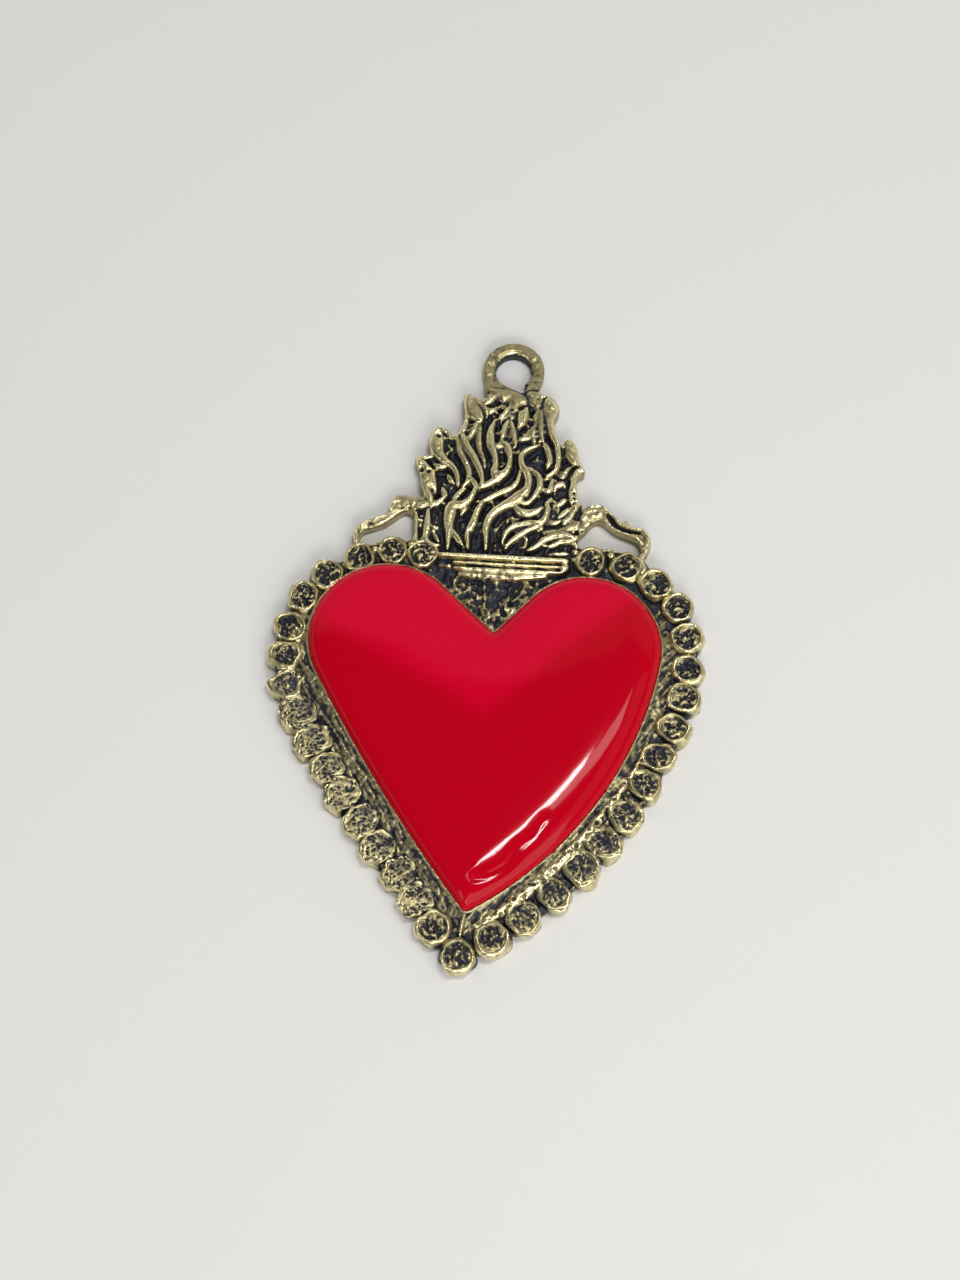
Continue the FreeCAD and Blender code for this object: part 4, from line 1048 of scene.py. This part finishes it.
# %% A blank bead
def blank_bead():
    """A coin of radius 1 and height 1: dish, rim, wall and back, as rings of corners."""
    dish, rim = 0.7, 1.0
    section = [(r, 0.82) for r in np.linspace(0.05, dish - 0.03, 13)]
    section += [(dish, 0.87), (0.73, 0.96), (0.77, 1.0), (0.82, 0.99), (0.88, 0.94),
                (0.94, 0.85), (0.98, 0.74), (rim, 0.62), (rim, 0.3), (rim, 0.0)]
    sides = 52
    turns = np.arange(sides) * 2 * math.pi / sides
    spots = [(0, 0, 0.82)]
    for radius, level in section:
        spots += [(radius * math.cos(t), radius * math.sin(t), level) for t in turns]
    spots.append((0, 0, 0))
    faces = []
    for side in range(sides):
        after = (side + 1) % sides
        faces.append((0, 1 + side, 1 + after))
        for ring_number in range(len(section) - 1):
            first = 1 + ring_number * sides
            faces.append((first + side, first + sides + side, first + sides + after,
                          first + after))
        last = 1 + (len(section) - 1) * sides
        faces.append((last + side, len(spots) - 1, last + after))
    bead = make_mesh("blank_bead", np.array(spots) / MM, faces, gold)
    radii = np.hypot(*np.array(spots)[:, :2].T)
    levels = np.array(spots)[:, 2]
    in_dish = smooth_step(dish - radii, -0.02, 0.1) * (levels > 0.5)
    store(bead.data, "dish", in_dish)
    store(bead.data, "spot", spots, "FLOAT_VECTOR")
    return bead


bead_blank = blank_bead()
print("blank bead:", len(bead_blank.data.vertices), "corners")

# %% [markdown]
# ## The chain that carries the beads
# The beads are nearly even, but the carver set each one by eye, so their centres are measured.
# What a bead needs to know follows from its neighbours: it turns its front away from the heart,
# and it is as wide as the gap to the next. Its petal share is 1 at the lower left, where the
# beads are flat petals, and 0 at the top, where they are coins.

# %% A chain of bead centres
bead_places = [
    (-6.5, -18.8), (-9.1, -18.7), (-11.8, -19.5), (-14.5, -21.3), (-16.3, -23.6),
    (-17.2, -26.4), (-17.4, -29.1), (-17.0, -31.7), (-15.7, -34.2), (-14.3, -36.6),
    (-12.7, -38.8), (-11.2, -41.0), (-9.4, -43.1), (-7.7, -45.2), (-5.8, -47.3),
    (-4.1, -49.3), (-2.4, -51.5), (-0.3, -53.5), (2.4, -51.9), (4.9, -50.0), (7.2, -47.8),
    (9.4, -45.5), (11.1, -43.2), (12.7, -40.7), (14.1, -37.9), (15.1, -35.3), (16.2, -32.8),
    (17.0, -30.0), (17.2, -27.4), (16.9, -24.6), (16.0, -21.9), (14.0, -19.9),
    (11.3, -18.5), (8.2, -18.3)]
bead_height = 1.7


def bead_chain():
    """The bead centres as a line of points that carry a turn, size, petal share and rank."""
    widest, overlap = 1.5, 1.07
    spots = np.array(bead_places)
    steps = np.hypot(*np.diff(spots, axis=0).T)
    spacing = np.concatenate([steps[:1], (steps[1:] + steps[:-1]) / 2, steps[-1:]])
    ahead = np.gradient(spots, axis=0)
    outward = np.arctan2(-ahead[:, 0], ahead[:, 1])
    right_low = smooth_step(-spots[:, 1], 36, 41) * smooth_step(spots[:, 0], 3, 5)
    petal = np.where(spots[:, 0] < -3, 1.0, 0.3 + 0.45 * right_low)
    petal *= smooth_step(-spots[:, 1], 25, 35)
    mesh = bpy.data.meshes.new("bead_chain")
    corners = np.column_stack([spots, np.zeros(len(spots))]) * MM
    mesh.from_pydata(corners, [(n, n + 1) for n in range(len(spots) - 1)], [])
    for name, numbers in (("turn", outward), ("size", np.minimum(spacing / 2 * overlap, widest)),
                          ("petal", petal), ("rank", np.arange(len(spots)))):
        store(mesh, name, numbers)
    return new_object("bead_chain", mesh)


chain = bead_chain()
print("beads:", len(bead_places))

# %% [markdown]
# ## The tree that sets and shapes the beads
# One tree does what would be dull by hand. It puts the blank on each point of the chain, and
# then moves each corner: outwards, so that no bead is quite round and the petals have a few
# flat sides, and up or down for clots in the dish, pits and the petals' slope. The same noise
# also gives the relief number, so patina lies in the very hollows that the tree makes.

# %% Parts of the tree
def new_tree(name, inputs):
    """A Geometry Nodes group with a geometry in and out, and the named inputs."""
    tree = bpy.data.node_groups.new(name, "GeometryNodeTree")
    tree.interface.new_socket("Geometry", in_out="OUTPUT", socket_type="NodeSocketGeometry")
    tree.interface.new_socket("Geometry", in_out="INPUT", socket_type="NodeSocketGeometry")
    for title, kind in inputs:
        tree.interface.new_socket(title, in_out="INPUT", socket_type=kind)
    bench = Wire(tree)
    return tree, bench, bench.node("NodeGroupInput")


def named(bench, name, kind="FLOAT"):
    """A value that was stored under a name."""
    return bench.node("GeometryNodeInputNamedAttribute", {"data_type": kind}, {"Name": name})


def kept_as(bench, shape, name, value, kind="FLOAT"):
    """The shape, with a value stored on each corner under a name."""
    return bench.node("GeometryNodeStoreNamedAttribute", {"data_type": kind, "domain": "POINT"},
                      {"Geometry": shape, "Name": name, "Value": value})


def vector(bench, operation, first, second=None, out=0):
    """Vector Math. What goes with SCALE is a number, and with LENGTH nothing."""
    sockets = {0: first}
    if second is not None:
        sockets["Scale" if operation == "SCALE" else 1] = second
    return bench.node("ShaderNodeVectorMath", {"operation": operation}, sockets, out)


print("a tree's parts: named values, stored values and vector sums")

# %% A bead on every seat
def seated_beads(bench, given):
    """A turned and sized blank on each point of the chain, all as one mesh."""
    line = bench.node("GeometryNodeMeshToCurve", None, {"Mesh": given})
    seats = bench.node("GeometryNodeCurveToPoints", {"mode": "EVALUATED"}, {"Curve": line})
    seats = kept_as(bench, seats, "seat", bench.node("GeometryNodeInputPosition"), "FLOAT_VECTOR")
    blank = bench.node("GeometryNodeObjectInfo", None, {"Object": given.sibling("Blank")},
                       out="Geometry")
    size = named(bench, "size") * MM
    scale = bench.node("ShaderNodeCombineXYZ", None,
                       {"X": size, "Y": size, "Z": given.sibling("Height") * MM})
    turn = bench.node("ShaderNodeCombineXYZ", None, {"Z": named(bench, "turn")})
    beads = bench.node("GeometryNodeInstanceOnPoints", None,
                       {"Points": seats, "Instance": blank, "Scale": scale, "Rotation": turn})
    return bench.node("GeometryNodeRealizeInstances", None, {"Geometry": beads})


print("a bead's seat, size and turn come from the chain")

# %% The tree
def bead_tree():
    tree, bench, given = new_tree("set_beads", [
        ("Blank", "NodeSocketObject"), ("Height", "NodeSocketFloat"),
        ("Grain", "NodeSocketFloat"), ("Wobble", "NodeSocketFloat"),
        ("Seed", "NodeSocketFloat"), ("Material", "NodeSocketMaterial")])
    beads = seated_beads(bench, given)
    flat = (1, 1, 0)

    # A corner's place on the blank: outward along X, sideways along Y, and its level.
    spot = named(bench, "spot", "FLOAT_VECTOR")
    outward = bench.node("ShaderNodeSeparateXYZ", None, {"Vector": spot})
    level = outward.sibling("Z")
    away = vector(bench, "LENGTH", vector(bench, "MULTIPLY", spot, flat), out="Value")
    rank = named(bench, "rank") + given.sibling("Seed")
    petal = named(bench, "petal")
    coin = 1 - petal
    on_top = level.step(0.72, 0.8)

    # Outwards: uneven all round, with seven flat sides on a petal, which reaches inwards.
    wobble = noise(bench, spot, 0.9, 1, draw=rank)
    side_angle, side_reach, inner_reach = 2 * math.pi / 7, 0.955, 0.28
    angle = bench.math("ARCTAN2", outward.sibling("Y"), outward) + rank * 1.7 + 50
    corner = bench.math("FLOORED_MODULO", angle, side_angle) - side_angle / 2
    facet = bench.math("DIVIDE", side_reach, bench.math("COSINE", corner)) - 1
    grow = (wobble - 0.5) * given.sibling("Wobble") + facet * (0.1 + petal * 0.9)
    grow = grow + (outward * -1).step(0, 1) * petal * inner_reach
    ray = vector(bench, "SUBTRACT", bench.node("GeometryNodeInputPosition"),
                 named(bench, "seat", "FLOAT_VECTOR"))
    shifted = vector(bench, "SCALE", vector(bench, "MULTIPLY", ray, flat), grow)

    # Up and down: clots in a coin's dish, and a petal's even top, pits and inward slope.
    dish = named(bench, "dish")
    clot = noise(bench, spot, 4.6, 2.5, 0.62, rank * 3.7).step(0.43, 0.57)
    pit = noise(bench, spot, 7.5, 1.5, 0.6, rank * 2.1 + 9).step(0.56, 0.62) * petal
    skin = noise(bench, spot, 4.5, 3, draw=rank * 1.3 + 40)
    even = (0.97 - level) * petal * on_top * given.sibling("Height") * 0.97
    grain = dish * (clot - 0.4) * given.sibling("Grain") * coin
    sink = (0.25 - outward).step(0, 1.3) * petal
    drop = grain + even - pit * on_top * 0.13 - sink * 0.3 * level
    drop = drop + (skin - 0.5) * (0.16 - petal * 0.09) * level
    moved = bench.node("ShaderNodeCombineXYZ", None, {"Z": drop * MM})
    beads = bench.node("GeometryNodeSetPosition", None,
                       {"Geometry": beads, "Offset": vector(bench, "ADD", shifted, moved)})

    # The relief number: bright on a petal's outer edge, partly wear and partly a painted
    #     # highlight, dark in hollows and between beads.
    edge = away.step(0.83, 0.93) * outward.step(-0.2, 0.5) * petal
    gap = away.step(0.9, 0.98) * (1 - outward.step(0.1, 0.6)) * petal
    hollow = dish * (1 - clot) * coin
    relief = (0.5 - hollow * 1.55 - dish * coin * 0.12 - petal * 0.35 + edge * 0.5 - gap * 0.9
              - pit * on_top * 1.3 - sink * 0.25 + (skin - 0.5) * (2.0 - petal * 0.9)
              + (wobble - 0.5) * (1.4 - petal * 0.8)
              - (1 - level.step(0.6, 0.9)) * (1 - outward.step(0.35, 0.8)) * 1.5)
    beads = bench.node("GeometryNodeSetMaterial", None,
                       {"Geometry": kept_as(bench, beads, "relief", relief),
                        "Material": given.sibling("Material")})
    bench.node("NodeGroupOutput", None, {"Geometry": beads})
    return tree


set_beads = bead_tree()
print(set_beads.name, len(set_beads.nodes), "nodes")

# %% Growing the beads
def grow_piece(base, tree, name, inputs):
    """Runs a tree on an object and keeps the result as a plain mesh of its own."""
    modifier = base.modifiers.new(tree.name, "NODES")
    modifier.node_group = tree
    for item in tree.interface.items_tree:
        if item.item_type == "SOCKET" and item.in_out == "INPUT" and item.name in inputs:
            modifier[item.identifier] = inputs[item.name]
    ready = base.evaluated_get(bpy.context.evaluated_depsgraph_get())
    mesh = bpy.data.meshes.new_from_object(ready)
    mesh.name = name
    mesh.polygons.foreach_set("use_smooth", np.ones(len(mesh.polygons), bool))
    base.modifiers.remove(modifier)
    return new_object(name, mesh)


beads = grow_piece(chain, set_beads, "border_beads", {
    "Blank": bead_blank, "Height": bead_height, "Grain": 0.3, "Wobble": 0.8, "Seed": 5.0,
    "Material": gold})
for spare in (chain, bead_blank):
    bpy.data.objects.remove(spare)
beads.data.calc_loop_triangles()
print("border beads:", len(beads.data.loop_triangles), "triangles")

# %% [markdown]
# ## The enamel dome
# Poured enamel climbs its wall and swells into a dome: steep at the edge, then flatter and
# flatter. It is built of rings, each the heart's outline moved a little further in and a
# little higher, because then the height follows the distance from the wall exactly. Rings
# deeper in are smoothed along themselves, as surface tension would.

# %% The dome's section and the pool's swell
def dome_rise(inset):
    """Height above the wall's foot, in mm, at a distance from the outline."""
    places = [0, 0.1, 0.3, 0.6, 1.0, 1.6, 2.3, 3.0, 3.7, 4.5]
    rises = [0, 0.2, 0.42, 0.65, 0.84, 1.0, 1.1, 1.15, 1.17, 1.17]
    line = smooth_line(list(zip(places, rises)), 12)
    return np.interp(inset, line[:, 0], line[:, 1])


def pooled_rise(points, coarse=4):
    """The slow swell of the whole pool: a membrane held at the outline and pressed evenly
    from below, relaxed on every fourth line of the grid. 1 at its top."""
    rounds, press = 2500, 0.001
    wet = from_enamel[::coarse, ::coarse] < 0
    swell = np.zeros(wet.shape)
    for _ in range(rounds):
        beside = (np.roll(swell, 1, 0) + np.roll(swell, -1, 0) + np.roll(swell, 1, 1)
                  + np.roll(swell, -1, 1)) / 4
        swell = np.where(wet, beside + press, 0)
    swell /= swell.max()
    u = (points[:, 0] - columns[0]) / (pitch * coarse)
    v = (points[:, 1] - rows[0]) / (pitch * coarse)
    return blended(swell, u, v)


print("the dome rises, mm:", round(float(dome_rise(3.0)), 2))

# %% A furrow and even rows
furrow_width = 0.42


def furrow_depth(points):
    """A faint wavy furrow along the lower right, where the enamel set unevenly."""
    line = smooth_line([(0.7, -47.3, 0.15), (1.65, -47.05, 0.14), (2.6, -46.45, 0.13),
                        (3.2, -45.95, 0.12), (3.6, -45.2, 0.11), (3.95, -44.5, 0.1),
                        (4.5, -43.95, 0.09), (5.1, -43.4, 0.085), (5.45, -42.65, 0.08),
                        (5.9, -41.95, 0.07)])
    deepest = np.zeros(len(points))
    for x, y, depth in line:
        away = np.hypot(points[:, 0] - x, points[:, 1] - y)
        deepest = np.maximum(deepest, depth * np.exp(-(away / furrow_width) ** 2))
    return deepest


def evened(row, times):
    """A closed row of values, each drawn towards its two neighbours, several times."""
    for _ in range(times):
        row = (np.roll(row, 1) + 2 * row + np.roll(row, -1)) / 4
    return row


print("furrow width, mm:", furrow_width)

# %% The enamel's mesh
foot_height, pool_swell, inner_rings = 1.5, 0.38, 25


def enamel_dome():
    """Rings from the wall to the middle, a short wall under them and a flat underside."""
    insets = np.concatenate([[0, 0.04, 0.09, 0.15, 0.22, 0.3, 0.4, 0.5],
                             np.arange(0.62, 4.2, 0.12)])
    rings = []
    edge = enamel_heart.outline()
    ahead = np.roll(edge, -1) - np.roll(edge, 1)
    faces_right = (-1j * ahead / abs(ahead) * complex(0.8, 0.6)).real
    steepness = evened(2.1 - 1.1 * smooth_step(faces_right, -0.2, 0.75), 60)
    for order, inset in enumerate(insets):
        line = evened(enamel_heart.outline(inset), int(order * 1.2))
        level = foot_height + dome_rise(inset * steepness)
        rings.append(np.column_stack([line.real, line.imag, level]))
    last = rings[-1]
    middle_spot = np.array([-0.3, -36.0])
    for share in np.linspace(0, 1, inner_rings + 1, endpoint=False)[1:]:
        inner_ring = last.copy()
        inner_ring[:, :2] += (middle_spot - inner_ring[:, :2]) * share
        rings.append(inner_ring)
    count = len(last)
    points = np.vstack(rings + [[[*middle_spot, rings[-1][0, 2]]]])
    points[:, 2] += pool_swell * pooled_rise(points) - furrow_depth(points)
    below = rings[0].copy()
    below[:, 2] = cell_floor
    faces = []
    for order in range(len(rings) - 1):
        start = order * count
        for n in range(count):
            after = (n + 1) % count
            faces.append((start + n, start + after, start + count + after, start + count + n))
    start = (len(rings) - 1) * count
    faces += [(start + n, start + (n + 1) % count, start + count) for n in range(count)]
    low = len(points)
    faces += [(low + n, low + (n + 1) % count, (n + 1) % count, n) for n in range(count)]
    points = np.vstack([points, below])
    edges = [(low + n, low + (n + 1) % count) for n in range(count)]
    flat_from = len(faces)
    faces += sheet_between(points, edges, -1)
    return make_mesh("enamel_dome", points, faces, enamel_red, flat_from)


enamel = enamel_dome()
print("enamel:", len(enamel.data.vertices), "corners, top at",
      round(max(v.co.z for v in enamel.data.vertices) / MM, 2), "mm")

# %% [markdown]
# ## The table
# The pendant lies on a plain pale table with the faintest clouds in its colour. Far from the
# pendant the table shows the tone of the sky at the horizon, to the camera and in reflections
# alike, so that no edge of the table shows.

# %% Table
backdrop_colour, backdrop_strength = (1, 0.985, 0.965, 1), 0.8


def make_table():
    material, bench, place = new_material("table")
    colour = mixed_colour(bench, noise(bench, place, 9, 4), (0.76, 0.75, 0.73, 1),
                          (0.79, 0.78, 0.765, 1))
    shader = bench.node("ShaderNodeBsdfPrincipled", None,
                        {"Base Color": colour, "Roughness": 0.7})
    pale = bench.node("ShaderNodeEmission", None,
                      {"Color": backdrop_colour, "Strength": backdrop_strength})
    away = vector(bench, "LENGTH", place, out="Value")
    path = bench.node("ShaderNodeLightPath", out="Is Camera Ray")
    seen = path + path.sibling("Is Glossy Ray") + path.sibling("Is Transmission Ray")
    mixed = bench.node("ShaderNodeMixShader", None,
                       {0: away.step(0.12, 0.35) * seen, 1: shader, 2: pale})
    bench.node("ShaderNodeOutputMaterial", None, {"Surface": mixed})
    half = 1500  # mm, so the table is 3 m wide
    return make_mesh("table", [(-half, -half, 0), (half, -half, 0), (half, half, 0),
                               (-half, half, 0)], [(0, 1, 2, 3)], material)


table = make_table()
print("table:", len(table.data.materials[0].node_tree.nodes), "nodes in its material")

# %% [markdown]
# ## Light
# Metal and gloss show only what they reflect, so the light is built of soft panels: one at the
# near right that catches the flanks of the relief, a smaller one in front for its glints, two
# strips high up that draw the streaks on the enamel, a strip at the left for the thin glints
# there, a dim one at the right, and a dim one beyond the crown for the calm gold of the flat
# places. The sky is dim overhead and lighter near the horizon.

# %% Soft panels
def soft_panel(name, azimuth, elevation, wide, tall, radiance, distance=0.5):
    """A panel that faces the heart's middle. Angles in degrees; radiance 1 looks white."""
    target = Vector((0, -27 * MM, 0))
    a, e = math.radians(azimuth), math.radians(elevation)
    way = Vector((math.cos(a) * math.cos(e), math.sin(a) * math.cos(e), math.sin(e)))
    light = bpy.data.lights.new(name, "AREA")
    light.shape = "RECTANGLE"
    light.size = 2 * distance * math.tan(math.radians(wide) / 2)
    light.size_y = 2 * distance * math.tan(math.radians(tall) / 2)
    light.energy = radiance * math.pi * light.size * light.size_y
    lamp = new_object(name, light)
    lamp.location = target + way * distance
    lamp.rotation_euler = (-way).to_track_quat("-Z", "Y").to_euler()
    lamp.visible_camera = False
    return light.energy


# azimuth, elevation, width and height in degrees, then the radiance
panels = {
    "flank_panel": (-52, 34, 45, 36, 2.3),
    "front_panel": (-80, 38, 22, 16, 6.0),
    "streak_panel": (-8, 46, 36, 24, 0.5),
    "left_strip": (222, 34, 11, 26, 2.8),
    "streak_strip": (32, 79, 2.2, 14, 87.0),
    "soft_strip": (20, 68, 6.0, 18, 8.0),
    "far_panel": (92, 37, 110, 64, 0.37),
}
watts = {name: soft_panel(name, *sizes) for name, sizes in panels.items()}
print("panels, W:", {name: round(value, 2) for name, value in watts.items()})

# %% The sky
world = bpy.data.worlds.new("sky")
world.use_nodes = True
world.node_tree.nodes.clear()
sky = Wire(world.node_tree)
direction = sky.node("ShaderNodeTexCoord", out="Generated")
rise = sky.node("ShaderNodeSeparateXYZ", None, {"Vector": direction}, out="Z")
strength = backdrop_strength - rise.step(0, 0.5) * 0.7
background = sky.node("ShaderNodeBackground", None,
                      {"Color": backdrop_colour, "Strength": strength})
sky.node("ShaderNodeOutputWorld", None, {"Surface": background})
bpy.context.scene.world = world
print("sky nodes:", len(world.node_tree.nodes))

# %% [markdown]
# ## The pieces on the body
# Each piece rides on the pendant's one body and stands for the solid that it dresses, which
# is hidden.

# %% Riding and replacing
for piece in (casting, beads):
    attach(piece, "root")
    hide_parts("pendant_casting")
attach(enamel, "root")
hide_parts("enamel_heart")
print("dressed with:", [piece.name for piece in (casting, beads, enamel)])
